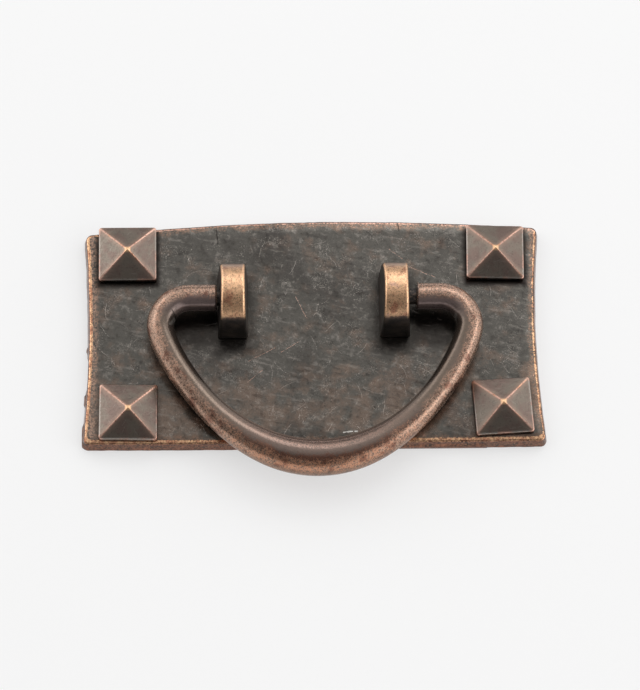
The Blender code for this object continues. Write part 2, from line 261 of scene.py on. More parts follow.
# Socket kinds of a recipe's named inputs, by the type of the value given
SOCKET_KINDS = (
    (int, "NodeSocketInt"),
    (float, "NodeSocketFloat"),
    (Vector, "NodeSocketVector"),
    (bpy.types.Material, "NodeSocketMaterial"),
    (bpy.types.Object, "NodeSocketObject"),
)


class Nodes:
    """A node tree with short calls for adding and joining its nodes."""

    def __init__(self, tree):
        self.tree = tree

    def add(self, kind, *values, into=None, **settings):
        """Add a node, set it up, and feed its first inputs in order and others by name."""
        made = self.tree.nodes.new(kind)
        for name, value in settings.items():
            setattr(made, name, value)
        for socket, value in zip(made.inputs, values):
            self.feed(socket, value)
        for name, value in (into or {}).items():
            self.feed(made.inputs[name], value)
        return made

    def feed(self, socket, value):
        """Join a socket to an output or give it a value. None leaves it as it is."""
        if isinstance(value, bpy.types.NodeSocket):
            self.tree.links.new(value, socket)
        elif value is not None:
            socket.default_value = value

    def maths(self, operation, *values, clamp=False):
        return self.add("ShaderNodeMath", *values, operation=operation, use_clamp=clamp).outputs["Value"]

    def times(self, first, *others):
        """Return a product."""
        for other in others:
            first = self.maths("MULTIPLY", first, other)
        return first

    def plus(self, first, second):
        return self.maths("ADD", first, second)

    def rest(self, mask):
        """Return what a mask leaves free."""
        return self.maths("SUBTRACT", 1.0, mask)

    def gap(self, first, second):
        """Return how far apart two values are."""
        return self.maths("ABSOLUTE", self.maths("SUBTRACT", first, second))

    def most(self, values):
        """Return the largest of several values."""
        result = values[0]
        for value in values[1:]:
            result = self.maths("MAXIMUM", result, value)
        return result

    def vector(self, operation, *values, **into):
        """Return what a vector operation gives: a number for a dot product or a length."""
        made = self.add("ShaderNodeVectorMath", *values, into=into, operation=operation)
        return made.outputs["Value" if operation in ("DOT_PRODUCT", "LENGTH") else "Vector"]

    def split(self, vector):
        """Return a vector's parts under X, Y and Z."""
        return self.add("ShaderNodeSeparateXYZ", vector).outputs

    def step(self, value, low, high, start=0.0, end=1.0):
        """Return a soft step from one level to another between low and high, or from high to low."""
        made = self.add("ShaderNodeMapRange", value, low, high, start, end, interpolation_type="SMOOTHSTEP")
        return made.outputs["Result"]


class Recipe(Nodes):
    """A Geometry Nodes tree whose named inputs are made from the values given."""

    def __init__(self, name, values):
        super().__init__(bpy.data.node_groups.new(name, "GeometryNodeTree"))
        for way in ("INPUT", "OUTPUT"):
            self.tree.interface.new_socket("Geometry", in_out=way, socket_type="NodeSocketGeometry")
        self.settings = {}
        for label, value in values.items():
            kind = next(socket for made_of, socket in SOCKET_KINDS if isinstance(value, made_of))
            item = self.tree.interface.new_socket(label, in_out="INPUT", socket_type=kind)
            self.settings[item.identifier] = value
        self.given = self.tree.nodes.new("NodeGroupInput").outputs

    def mark(self, geometry, name, value, kind="FLOAT"):
        """Store a value on the geometry's points under a name."""
        into = {"Name": name, "Value": value}
        made = self.add("GeometryNodeStoreNamedAttribute", geometry, into=into, data_type=kind)
        return made.outputs["Geometry"]

    def kept(self, name, kind="FLOAT"):
        """Return what is stored under a name."""
        return self.add("GeometryNodeInputNamedAttribute", name, data_type=kind).outputs["Attribute"]

    def end(self, geometry):
        """End the tree in real geometry with the material given."""
        real = self.add("GeometryNodeRealizeInstances", geometry).outputs["Geometry"]
        dressed = self.add("GeometryNodeSetMaterial", real, None, self.given["Material"]).outputs["Geometry"]
        self.add("NodeGroupOutput", dressed)

    def run(self, piece, name):
        """Apply the tree to a piece and return the result as a plain mesh."""
        modifier = piece.modifiers.new(self.tree.name, "NODES")
        modifier.node_group = self.tree
        for identifier, value in self.settings.items():
            modifier[identifier] = value
        mesh = evaluated_mesh(piece, name)
        piece.modifiers.remove(modifier)
        return mesh


# Meshes


def piece_from(mesh, name):
    """Put a mesh into the scene as a piece at the origin."""
    piece = bpy.data.objects.new(name, mesh)
    bpy.context.scene.collection.objects.link(piece)
    return piece


def mesh_from(build, name):
    """Close a bmesh into a mesh whose faces point outwards."""
    bmesh.ops.recalc_face_normals(build, faces=build.faces)
    mesh = bpy.data.meshes.new(name)
    build.to_mesh(mesh)
    build.free()
    return mesh


def add_skin(build, rings):
    """Skin a stack of closed rings of vertices and cap both ends."""
    for lower, upper in zip(rings, rings[1:]):
        for index in range(len(lower)):
            following = (index + 1) % len(lower)
            build.faces.new((lower[index], lower[following], upper[following], upper[index]))
    build.faces.new(list(reversed(rings[0])))
    build.faces.new(rings[-1])


def loft(rings, name, marks=None):
    """Make a mesh from a stack of closed rings of points.

    marks maps an attribute's name to one list of values for each ring.
    """
    build = bmesh.new()
    layers = {mark: build.verts.layers.float.new(mark) for mark in marks or {}}
    skin = []
    for number, ring in enumerate(rings):
        verts = [build.verts.new(point) for point in ring]
        for mark, layer in layers.items():
            for vert, value in zip(verts, marks[mark][number]):
                vert[layer] = value
        skin.append(verts)
    add_skin(build, skin)
    return mesh_from(build, name)


def add_bar(build, radius, start, end):
    """Add a round bar between two points and return its vertices."""
    run = end - start
    turn = run.to_track_quat("Z", "Y").to_matrix().to_4x4()
    made = bmesh.ops.create_cone(
        build,
        cap_ends=True,
        segments=HOLE_SIDES,
        radius1=radius,
        radius2=radius,
        depth=run.length,
        matrix=Matrix.Translation((start + end) / 2) @ turn,
    )
    return made["verts"]


def cylinder(radius, start, end, name):
    """Make a mesh of a round bar between two points."""
    build = bmesh.new()
    add_bar(build, radius, Vector(start), Vector(end))
    return mesh_from(build, name)


def evaluated_mesh(piece, name):
    """Return what a piece's modifiers make of it, as a plain mesh."""
    bpy.context.view_layer.update()
    evaluated = piece.evaluated_get(bpy.context.evaluated_depsgraph_get())
    mesh = bpy.data.meshes.new_from_object(evaluated)
    mesh.name = name
    return mesh


def carve(mesh, tools, name):
    """Return a mesh after a list of exact Booleans, each a tool mesh and an operation."""
    piece = piece_from(mesh, name)
    helpers = []
    for tool, operation in tools:
        helper = piece_from(tool, tool.name)
        helpers.append(helper)
        modifier = piece.modifiers.new(tool.name, "BOOLEAN")
        modifier.operation = operation
        modifier.object = helper
        modifier.solver = "EXACT"
    result = evaluated_mesh(piece, name)
    for item in (piece, *helpers):
        bpy.data.objects.remove(item, do_unlink=True)
    return result


def shade_round(mesh, sharp_degrees=35):
    mesh.shade_smooth()
    mesh.set_sharp_from_angle(angle=math.radians(sharp_degrees))


def finish_piece(mesh, name, materials, body, nodes):
    """Give a mesh its materials and let it stand for its CAD nodes on their body."""
    for index, material in enumerate(materials):
        if index < len(mesh.materials):
            mesh.materials[index] = material
        else:
            mesh.materials.append(material)
    piece = piece_from(mesh, name)
    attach(piece, body)
    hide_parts(*nodes)
    return piece


# Backplate

EDGE_BOW_POWER = 1.8
WANDER_LENGTH = 0.0045
RIPPLE_LENGTH = 0.0013
RIPPLE_SHARE = 0.3
FLASH_HEIGHT = 0.0016
RUBBED_WIDTH = 0.0008
CREST_POWER = 1.5
WANDER_CLIMB = 0.3
# How much an edge that faces left, right, up or down is rubbed, and a lower corner
LEFT_RUB = 0.06
RIGHT_RUB = -0.24
UPPER_RUB = -0.28
LOWER_RUB = 0.42
LOWER_CORNER_RUB = 1.2
# Outward directions that count as the left and the lower edge
FACES_LEFT = -0.35
FACES_DOWN = -0.7
# Thin flash left at the foot of the wall, or a dent in it: edge, from, to, how far out, softness
FLASH_SPOTS = (
    ("left", -0.0104, -0.0088, 0.00025, 0.0004),
    ("left", -0.0205, -0.0110, -0.00050, 0.0024),
    ("left", -0.0238, -0.0208, 0.00030, 0.0004),
    ("left", -0.0345, -0.0275, 0.00035, 0.0020),
    ("lower", 0.0190, 0.0400, 0.00030, 0.0004),
)


def bow(part, height):
    """Return how far a bowed edge stands off its chord at a part of its length."""
    return height * (1 - abs(2 * part - 1) ** EDGE_BOW_POWER)


def plate_corners(sizes, inset):
    """Return the plate's four corners, lower left first, moved in by an inset."""
    side = PLATE_HIGH.x - inset
    low = -sizes.below_pivot + inset
    high = sizes.above_pivot - inset
    return (
        Vector((-side - sizes.left_flare, low)),
        Vector((side, low)),
        Vector((side, high + sizes.upper_skew)),
        Vector((-side, high - sizes.upper_skew)),
    )


def plate_outline(sizes, inset):
    """Return one closed outline as points and outward directions, counterclockwise."""
    corners = plate_corners(sizes, inset)
    radius = max(sizes.corner_radius - inset / 2, sizes.edge_radius)
    bows = (sizes.lower_bow, -sizes.right_hollow, sizes.upper_bow, -sizes.left_hollow)
    steps = (LONG_EDGE_STEPS, SHORT_EDGE_STEPS, LONG_EDGE_STEPS, SHORT_EDGE_STEPS)
    outline = []
    for index, corner in enumerate(corners):
        target = corners[(index + 1) % 4]
        before = (corner - corners[index - 1]).normalized()
        along = (target - corner).normalized()
        outward = Vector((along.y, -along.x))
        centre = corner + radius * (along - before)
        for step in range(CORNER_STEPS):
            turn = math.pi / 2 * step / CORNER_STEPS
            spoke = math.sin(turn) * before - math.cos(turn) * along
            outline.append((centre + radius * spoke, spoke))
        span = (target - corner).length - 2 * radius
        for step in range(steps[index]):
            part = step / steps[index]
            point = corner + along * (radius + span * part) + outward * bow(part, bows[index])
            outline.append((point, outward))
    return outline


def wandering(point, depth, height):
    """Return how far the forged edge has wandered out or in at a point."""
    slow = noise.noise(Vector((point.x, point.y, height * WANDER_CLIMB)) / WANDER_LENGTH)
    quick = noise.noise(Vector((point.x, point.y, height)) / RIPPLE_LENGTH)
    return depth * ((1 - RIPPLE_SHARE) * slow + RIPPLE_SHARE * quick)


def kept_inside(point):
    """Hold a point of the plate's edge inside the frame's own box."""
    across = min(max(point.x, PLATE_LOW.x), PLATE_HIGH.x)
    up = min(max(point.y, PLATE_LOW.y), PLATE_HIGH.y)
    return Vector((across, up))


def flash(point, outward, height):
    """Return how far the casting's flash stands out, or a dent goes in, at the foot of the wall."""
    fade = max(1 - height / FLASH_HEIGHT, 0)
    reach = 0
    for edge, start, end, size, softness in FLASH_SPOTS:
        if edge == "left":
            faces = outward.x < FACES_LEFT
            travel = point.y
        else:
            faces = outward.y < FACES_DOWN
            travel = point.x
        inside = min(travel - start, end - travel) / softness
        if faces and inside > 0:
            ramp = min(inside, 1)
            reach += size * ramp * ramp * (3 - 2 * ramp)
    return reach * min(fade * 2, 1)


def plate_levels(sizes):
    """Return the plate's section as inset, height, wear, wall and border for each ring."""
    foot = sizes.back_rim
    levels = [
        (foot + sizes.pocket_draft, sizes.pocket_depth, 0, 0, 0),
        (foot, 0, 0, 0, 0),
    ]
    shoulder = sizes.wall_draft + sizes.edge_radius
    border_top = PLATE_HIGH.z - sizes.border_drop
    wall_top = border_top - sizes.edge_radius
    for step in range(WALL_STEPS):
        up = step / WALL_STEPS
        levels.append((sizes.wall_draft * up, wall_top * up, 0, 1, 0))
    for step in range(ROUND_STEPS + 1):
        turn = math.pi / 2 * step / ROUND_STEPS
        inset = shoulder - sizes.edge_radius * math.cos(turn)
        height = border_top - sizes.edge_radius * (1 - math.sin(turn))
        crest = math.sin(turn) ** CREST_POWER
        levels.append((inset, height, crest, 1 - step / ROUND_STEPS, 1))
    for step in range(1, BORDER_STEPS + 1):
        part = step / BORDER_STEPS
        height = border_top + sizes.border_drop * math.sin(math.pi / 2 * part)
        worn = max(1 - part * sizes.border_width / RUBBED_WIDTH, 0)
        levels.append((shoulder + sizes.border_width * part, height, worn, 0, 1 - part))
    return levels


def edge_rub(outward):
    """Return how much an edge is rubbed bright: most along the lower edge, least along the upper."""
    down = max(-outward.y, 0)
    sides = LEFT_RUB * max(-outward.x, 0) + RIGHT_RUB * max(outward.x, 0)
    ends = UPPER_RUB * max(outward.y, 0) + LOWER_RUB * down
    return 1 + sides + ends + LOWER_CORNER_RUB * down * abs(outward.x)


def plate_shell(sizes):
    """Skin the plate from its hollow back over the wall and border to the field."""
    rings = []
    marks = {"wear": [], "wall": [], "border": []}
    for number, (inset, height, wear, wall, border) in enumerate(plate_levels(sizes)):
        outline = plate_outline(sizes, inset)
        ring = []
        for point, outward in outline:
            shift = 0
            if number > 1:
                shift = flash(point, outward, height) + wandering(point, sizes.wander, height)
            moved = kept_inside(point + outward * shift)
            ring.append((moved.x, moved.y, height))
        rings.append(ring)
        marks["wear"].append([wear * edge_rub(outward) for _, outward in outline])
        marks["wall"].append([wall] * len(outline))
        marks["border"].append([border] * len(outline))
    return loft(rings, "plate_shell", marks)


def slot_shape(half_length, radius, low, high, name):
    """Make a bar with round ends between two heights."""
    rings = []
    for height in (low, high):
        ring = []
        for side in (1, -1):
            for step in range(HOLE_SIDES // 2 + 1):
                turn = math.pi * step / (HOLE_SIDES // 2) - math.pi / 2
                x = side * (half_length + radius * math.cos(turn))
                ring.append((x, side * radius * math.sin(turn), height))
        rings.append(ring)
    return loft(rings, name)


def node_centre(node):
    """Return the middle of a CAD node's box."""
    low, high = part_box(node)
    return (low + high) / 2


def make_backplate(plate, posts, studs, material):
    """Cast plate with its hollow back, the spine between the posts and every hole."""
    half_spacing = node_centre("right_post").x
    spine_top = plate.pocket_depth + OVERLAP
    spine = slot_shape(half_spacing, plate.spine_width / 2, 0, spine_top, "spine")
    tools = [(spine, "UNION")]
    holes = [(node, posts.tenon_radius) for node in POST_NODES]
    holes += [(node, studs.shank_radius) for node in STUD_NODES]
    for node, radius in holes:
        centre = node_centre(node)
        if node in POST_NODES:
            centre.y = PIVOT.y
        low = (centre.x, centre.y, -CUT_MARGIN)
        high = (centre.x, centre.y, PLATE_HIGH.z + CUT_MARGIN)
        tools.append((cylinder(radius + HOLE_CLEARANCE, low, high, f"{node}_hole"), "DIFFERENCE"))
    mesh = carve(plate_shell(plate), tools, "forged_backplate")
    shade_round(mesh)
    return finish_piece(mesh, "forged_backplate", [material], "plate", ["backplate"])


# Posts


def post_half_width(posts, height):
    """Return half the post's drafted width at a height above the mounting plane."""
    full = PIVOT.z + posts.eye_radius - PLATE_HIGH.z
    part = (height - PLATE_HIGH.z) / full
    return (posts.base_width + (posts.rim_width - posts.base_width) * part) / 2


def post_profile(posts, inset):
    """Return the post's side view, an eye on straight legs, as Y and Z pairs."""
    radius = posts.eye_radius - inset
    seat = PLATE_HIGH.z + SEAT_GAP
    points = [(radius, seat)]
    for step in range(EYE_STEPS + 1):
        turn = math.pi * step / EYE_STEPS
        points.append((radius * math.cos(turn), PIVOT.z + radius * math.sin(turn)))
    points.append((-radius, seat))
    return points


def post_layers(posts):
    """Return the post's sections across its width: place from -1 to 1, inset, step in, rim, edge."""
    rounding = []
    for step in range(ROUND_STEPS + 1):
        turn = math.pi / 2 * step / ROUND_STEPS
        inset = posts.edge_radius * (1 - math.sin(turn))
        step_in = posts.edge_radius * (1 - math.cos(turn))
        rounding.append((inset, step_in, math.sin(turn), math.sin(2 * turn)))
    layers = [(-1, *layer) for layer in rounding]
    for step in range(1, RIM_STEPS):
        layers.append((-1 + 2 * step / RIM_STEPS, 0, posts.edge_radius, 1, 0))
    layers += [(1, *layer) for layer in reversed(rounding)]
    return layers


def post_shell(posts, centre_x):
    """Skin one post about its own middle, with a slightly filed rim."""
    rings = []
    marks = {"rim": [], "edge": []}
    for place, inset, step_in, rim, edge in post_layers(posts):
        ring = []
        for y, z in post_profile(posts, inset):
            half = post_half_width(posts, z) - step_in
            filed = noise.noise(Vector((centre_x + place * half, y, z)) / WANDER_LENGTH)
            fall = posts.wander * (0.5 + 0.5 * filed)
            lower = fall * max(z - PIVOT.z, 0) / posts.eye_radius
            ring.append((centre_x + place * (half - fall), y, z - lower))
        rings.append(ring)
        marks["rim"].append([rim] * len(ring))
        marks["edge"].append([edge] * len(ring))
    return loft(rings, "post_shell", marks)


def make_post(node, side, posts, bail, material):
    """Eye post with its tenon, its blind pivot bore and its blind screw hole."""
    centre_x = node_centre(node).x
    seat = PLATE_HIGH.z + SEAT_GAP
    pin_tip = side * (bail.bar_end - bail.pin_length - bail.end_float)
    bore_end = centre_x + side * (posts.base_width + CUT_MARGIN)
    tenon_foot = (centre_x, 0, posts.tenon_recess)
    tenon = cylinder(posts.tenon_radius, tenon_foot, (centre_x, 0, seat + OVERLAP), "tenon")
    bore_radius = bail.pin_radius + PIVOT_CLEARANCE
    bore = cylinder(bore_radius, (pin_tip, 0, PIVOT.z), (bore_end, 0, PIVOT.z), "pivot_bore")
    screw_foot = (centre_x, 0, -CUT_MARGIN)
    screw = cylinder(posts.screw_radius, screw_foot, (centre_x, 0, posts.screw_depth), "screw_hole")
    tools = [(tenon, "UNION"), (bore, "DIFFERENCE"), (screw, "DIFFERENCE")]
    mesh = carve(post_shell(posts, centre_x), tools, f"{node}_eye")
    shade_round(mesh)
    return finish_piece(mesh, f"{node}_eye", [material], "plate", [node])


# Bail


def bezier(start, pull, aim, end, steps):
    """Return points after the start of one cubic curve."""
    points = []
    for step in range(1, steps + 1):
        t = step / steps
        s = 1 - t
        points.append(s**3 * start + 3 * s * s * t * pull + 3 * s * t * t * aim + t**3 * end)
    return points


def half_centreline(bail):
    """Return the right half of the bail's centreline, from its bar end to the grip's middle."""
    bend_x = bail.half_width - bail.bend_radius
    points = []
    for step in range(RUN_STEPS):
        points.append(Vector((bail.bar_end + (bend_x - bail.bar_end) * step / RUN_STEPS, 0, 0)))
    for step in range(BEND_STEPS + 1):
        turn = math.pi / 2 * (1 - step / BEND_STEPS)
        x = bend_x + bail.bend_radius * math.cos(turn)
        points.append(Vector((x, bail.bend_radius * (math.sin(turn) - 1), 0)))
    points += bezier(
        Vector((bail.half_width, -bail.bend_radius, 0)),
        Vector((bail.half_width, -bail.bend_radius - bail.arm_pull, 0)),
        Vector((bail.grip_pull, -bail.drop, 0)),
        Vector((0, -bail.drop, 0)),
        ARM_STEPS,
    )
    return points


def bar_radii(bail, points):
    """Return the bar's radius at each point of the half centreline."""
    travel = [0.0]
    for before, after in zip(points, points[1:]):
        travel.append(travel[-1] + (after - before).length)
    radii = []
    for distance in travel:
        part = max(distance / travel[-1] * 2 - 1, 0)
        swell = (1 - math.cos(math.pi * part)) / 2
        radii.append(bail.bar_radius + (bail.grip_radius - bail.bar_radius) * swell)
    return radii


def rest_tilt(bail, plate):
    """Return how far the bail has fallen when its bar rests on the plate's lower edge."""
    points = half_centreline(bail)
    edge = plate.below_pivot - plate.wall_draft - plate.edge_radius
    lift = PIVOT.z - PLATE_HIGH.z
    tilts = []
    for point, radius in zip(points, bar_radii(bail, points)):
        reach = -point.y
        if bail.bend_radius < reach < edge:
            tilts.append(math.asin((lift - radius - REST_CLEARANCE) / reach))
    return min(tilts)


def bail_place(bail, plate):
    """Return the bail's rest position: turned about the pivot line and set to its side."""
    shift = Matrix.Translation(PIVOT + Vector((bail.side_shift, 0, 0)))
    return shift @ Matrix.Rotation(rest_tilt(bail, plate), 4, "X")


def centreline_piece(bail, place):
    """Return the whole centreline as a curve that the sweep follows."""
    half = half_centreline(bail)
    whole = list(half)
    for point in reversed(half[:-1]):
        spread = 1 + bail.left_spread * (1 + point.y / bail.drop)
        whole.append(Vector((-point.x * spread, point.y, 0)))
    whole[-1].x += bail.left_reach + bail.bar_end * bail.left_spread
    path = bpy.data.curves.new("bail_centreline", "CURVE")
    path.dimensions = "3D"
    spline = path.splines.new("POLY")
    spline.points.add(len(whole) - 1)
    for target, point in zip(spline.points, whole):
        target.co = (*(place @ point), 1.0)
    guide = bpy.data.objects.new("bail_centreline", path)
    bpy.context.scene.collection.objects.link(guide)
    return guide


BAIL_SIDES = 96
BAIL_RINGS = 620
DENT_SEED = 3.0
DENT_SCALE = 450.0
DENT_DETAIL = 2.0
DENT_LEVEL = 0.6


def bar_scale(recipe, from_end, swell):
    """Return the bar's radius along the sweep, less its end chamfer and the seam that is added later."""
    given = recipe.given
    total = recipe.add("GeometryNodeSplineLength").outputs["Length"]
    growth = recipe.maths("SUBTRACT", given["Grip Radius"], given["Bar Radius"])
    radius = recipe.maths("MULTIPLY_ADD", swell, growth, given["Bar Radius"])
    reach = recipe.maths("MULTIPLY", from_end, recipe.maths("MULTIPLY", total, 0.5))
    chamfer = recipe.maths("MAXIMUM", recipe.maths("SUBTRACT", given["End Chamfer"], reach), 0.0)
    return recipe.maths("SUBTRACT", recipe.maths("SUBTRACT", radius, given["Seam Height"]), chamfer)


def bail_recipe(bail, plane_normal, material):
    """Sweep a round bar that swells to the grip, with a casting seam and shallow dents."""
    recipe = Recipe(
        "swept_bail",
        {
            "Bar Radius": bail.bar_radius,
            "Grip Radius": bail.grip_radius,
            "End Chamfer": bail.end_chamfer,
            "Seam Height": bail.seam_height,
            "Dent Depth": bail.dents,
            "Plane Normal": plane_normal,
            "Sides": BAIL_SIDES,
            "Rings": BAIL_RINGS,
            "Seed": DENT_SEED,
            "Material": material,
        },
    )
    given = recipe.given
    spaced = recipe.add("GeometryNodeResampleCurve", given["Geometry"], None, given["Rings"]).outputs["Curve"]
    part = recipe.add("GeometryNodeSplineParameter").outputs["Factor"]
    off_middle = recipe.maths("ABSOLUTE", recipe.maths("MULTIPLY_ADD", part, 2.0, -1.0))
    from_end = recipe.maths("SUBTRACT", 1.0, off_middle)
    half_way = recipe.maths("MULTIPLY_ADD", from_end, 2.0, -1.0, clamp=True)
    wave = recipe.maths("COSINE", recipe.maths("MULTIPLY", half_way, math.pi))
    swell = recipe.maths("MULTIPLY_ADD", wave, -0.5, 0.5)
    tangent = recipe.add("GeometryNodeInputTangent").outputs["Tangent"]
    aside = recipe.vector("CROSS_PRODUCT", given["Plane Normal"], tangent)
    guided = recipe.mark(spaced, "aside", aside, "FLOAT_VECTOR")
    guided = recipe.mark(guided, "grip", swell)
    guided = recipe.mark(guided, "from_end", from_end)
    circle = recipe.add("GeometryNodeCurvePrimitiveCircle", given["Sides"], into={"Radius": 1.0})
    scale = bar_scale(recipe, from_end, swell)
    swept = recipe.add("GeometryNodeCurveToMesh", guided, circle.outputs["Curve"], scale, True)
    normal = recipe.add("GeometryNodeInputNormal").outputs["Normal"]
    facing = recipe.vector("DOT_PRODUCT", normal, given["Plane Normal"])
    outer = recipe.vector("DOT_PRODUCT", normal, recipe.kept("aside", "FLOAT_VECTOR"))
    lean = recipe.maths("DIVIDE", recipe.maths("ABSOLUTE", facing), SEAM_SPREAD, clamp=True)
    ridge = recipe.maths("SUBTRACT", 1.0, lean)
    spot = recipe.add("GeometryNodeInputPosition").outputs["Position"]
    dents = recipe.add(
        "ShaderNodeTexNoise", spot, given["Seed"], DENT_SCALE, DENT_DETAIL, noise_dimensions="4D"
    ).outputs["Fac"]
    dent = recipe.maths("MULTIPLY", recipe.maths("SUBTRACT", dents, DENT_LEVEL), given["Dent Depth"])
    lift = recipe.maths("ADD", recipe.maths("MULTIPLY", ridge, given["Seam Height"]), dent)
    offset = recipe.vector("SCALE", normal, Scale=lift)
    moved = recipe.add("GeometryNodeSetPosition", swept.outputs["Mesh"], into={"Offset": offset})
    marked = recipe.mark(moved.outputs["Geometry"], "seam", ridge)
    marked = recipe.mark(marked, "outer", outer)
    marked = recipe.mark(marked, "upper", facing)
    recipe.end(marked)
    return recipe


BURR_STEPS = 24
BURR_SIDES = 10
BURR_RADIUS = 0.00018
BURR_HEIGHT = 0.00075
BURR_POWER = 0.7
# The burr's run round the right bar end, in degrees from the front over the top
BURR_FROM = 70.0
BURR_TO = 150.0


def add_burr(build, bail, place):
    """Leave a thin curl of metal standing on the right bar end, as the cutter left it."""
    middle = Vector((bail.bar_end + bail.end_chamfer, 0, 0))
    rings = []
    for step in range(BURR_STEPS + 1):
        part = step / BURR_STEPS
        turn = math.radians(BURR_FROM + (BURR_TO - BURR_FROM) * part)
        spoke = Vector((0, -math.cos(turn), math.sin(turn)))
        rise = BURR_HEIGHT * math.sin(math.pi * part) ** BURR_POWER
        centre = middle + spoke * (bail.bar_radius - BURR_RADIUS + rise / 2)
        ring = []
        for side in range(BURR_SIDES):
            angle = 2 * math.pi * side / BURR_SIDES
            width = Vector((math.cos(angle) * BURR_RADIUS, 0, 0))
            tall = spoke * (math.sin(angle) * (BURR_RADIUS + rise / 2))
            ring.append(build.verts.new(place @ (centre + width + tall)))
        rings.append(ring)
    add_skin(build, rings)


def add_pins(mesh, bail, place):
    """Join the two pivot pins to the bar, with the second material."""
    build = bmesh.new()
    build.from_mesh(mesh)
    bmesh.ops.remove_doubles(build, verts=build.verts, dist=MERGE_DISTANCE)
    for side in (-1, 1):
        tip = place @ Vector((side * (bail.bar_end - bail.pin_length), 0, 0))
        root = place @ Vector((side * (bail.bar_end + bail.bar_radius), 0, 0))
        verts = add_bar(build, bail.pin_radius, tip, root)
        for face in {face for vert in verts for face in vert.link_faces}:
            face.material_index = 1
    add_burr(build, bail, place)
    return mesh_from(build, "swinging_bail")


def make_bail(bail, plate, bar_material, pin_material):
    """Swinging handle: one swept bar with a pivot pin at each end."""
    place = bail_place(bail, plate)
    guide = centreline_piece(bail, place)
    plane_normal = place.to_3x3() @ Vector((0, 0, 1))
    mesh = bail_recipe(bail, plane_normal, bar_material).run(guide, "bail_bar")
    bpy.data.objects.remove(guide, do_unlink=True)
    mesh = add_pins(mesh, bail, place)
    shade_round(mesh)
    return finish_piece(mesh, "swinging_bail", [bar_material, pin_material], "handle", ["bail"])


# Studs

STUD_SHARP_DEGREES = 60
# Shares of the rim's rounding that the tip is cut by, and that its dome rises again
TIP_CUT = 0.25
TIP_DOME = 0.15


def square_ring(half, full_half, corner, height):
    """Return a square ring whose corners get rounder towards the head's foot."""
    radius = corner * (half / full_half) ** 2
    points = []
    for quarter in range(4):
        spin = Matrix.Rotation(math.pi / 2 * quarter, 2)
        straight = half - radius
        for step in range(STUD_SIDE_STEPS):
            y = -straight + 2 * straight * step / STUD_SIDE_STEPS
            points.append(spin @ Vector((half, y)))
        for step in range(CORNER_STEPS):
            bend = math.pi / 2 * step / CORNER_STEPS
            bent = Vector((straight + radius * math.cos(bend), straight + radius * math.sin(bend)))
            points.append(spin @ bent)
    return [(point.x, point.y, height) for point in points]


def stud_levels(studs):
    """Return the head's half size and height from its foot to its tip."""
    base = PLATE_HIGH.z + SEAT_GAP
    half = studs.size / 2
    slope = math.atan2(studs.rise, half - studs.tip / 2)
    corner = base + studs.wall
    levels = [(half, base), (half, base + studs.wall * 0.5)]
    back_off = studs.rounding * math.tan((math.pi / 2 - slope) / 2)
    for step in range(ROUND_STEPS + 1):
        turn = (math.pi / 2 - slope) * step / ROUND_STEPS
        inset = studs.rounding * (1 - math.cos(turn))
        levels.append((half - inset, corner - back_off + studs.rounding * math.sin(turn)))
    start_half, start_height = levels[-1]
    tip_half = studs.tip / 2
    tip_height = corner + studs.rise - studs.rounding * TIP_CUT
    for step in range(1, STUD_SLOPE_STEPS + 1):
        part = step / STUD_SLOPE_STEPS
        half = start_half + (tip_half - start_half) * part
        levels.append((half, start_height + (tip_height - start_height) * part))
    levels.append((tip_half * 0.5, tip_height + studs.rounding * TIP_DOME))
    return levels


def stud_template(studs):
    """Make one stud about its own axis, with its shank and riveted tail."""
    full_half = studs.size / 2
    rings = [square_ring(half, full_half, studs.corner, height) for half, height in stud_levels(studs)]
    head = loft(rings, "stud_head")
    pocket = bpy.context.scene.pull_backplate.pocket_depth
    rivet_top = pocket - SEAT_GAP
    rivet_low = rivet_top - studs.rivet_thickness
    seat = PLATE_HIGH.z + SEAT_GAP
    shank = cylinder(studs.shank_radius, (0, 0, rivet_top - OVERLAP), (0, 0, seat + OVERLAP), "shank")
    rivet = cylinder(studs.rivet_radius, (0, 0, rivet_low), (0, 0, rivet_top), "rivet")
    mesh = carve(head, [(shank, "UNION"), (rivet, "UNION")], "stud_template")
    shade_round(mesh, STUD_SHARP_DEGREES)
    return mesh


def stud_recipe(template, material):
    """Set one copy of the template at each seat, turned as the seat says."""
    recipe = Recipe("stud_pattern", {"Stud": template, "Material": material})
    shape = recipe.add("GeometryNodeObjectInfo", recipe.given["Stud"]).outputs["Geometry"]
    spot = recipe.add("GeometryNodeInputPosition").outputs["Position"]
    local = recipe.mark(shape, "stud_place", spot, "FLOAT_VECTOR")
    spin = recipe.add("ShaderNodeCombineXYZ", 0.0, 0.0, recipe.kept("turn")).outputs["Vector"]
    rotation = recipe.add("FunctionNodeEulerToRotation", spin).outputs["Rotation"]
    into = {"Points": recipe.given["Geometry"], "Instance": local, "Rotation": rotation}
    recipe.end(recipe.add("GeometryNodeInstanceOnPoints", into=into).outputs["Instances"])
    return recipe


def stud_seats():
    """Return a cloud of points, one at each stud's axis, that carry their turns."""
    build = bmesh.new()
    layer = build.verts.layers.float.new("turn")
    for node, turn in zip(STUD_NODES, STUD_TURNS):
        centre = node_centre(node)
        vert = build.verts.new((centre.x, centre.y, 0))
        vert[layer] = math.radians(turn)
    mesh = bpy.data.meshes.new("stud_seats")
    build.to_mesh(mesh)
    build.free()
    return piece_from(mesh, "stud_seats")


def make_studs(studs, material):
    """The four pyramid studs, set out from one template."""
    template = piece_from(stud_template(studs), "stud_template")
    seats = stud_seats()
    mesh = stud_recipe(template, material).run(seats, "pyramid_studs")
    for helper in (template, seats):
        bpy.data.objects.remove(helper, do_unlink=True)
    return finish_piece(mesh, "pyramid_studs", [material], "plate", STUD_NODES)


# Finishes

# Unevenness of every drawn stroke, as the scale of its noise and how far it shifts the place
WOBBLE_SCALE = 700.0
WOBBLE_REACH = 0.0005
FLATTENED = (1.0, 1.0, 0.0)
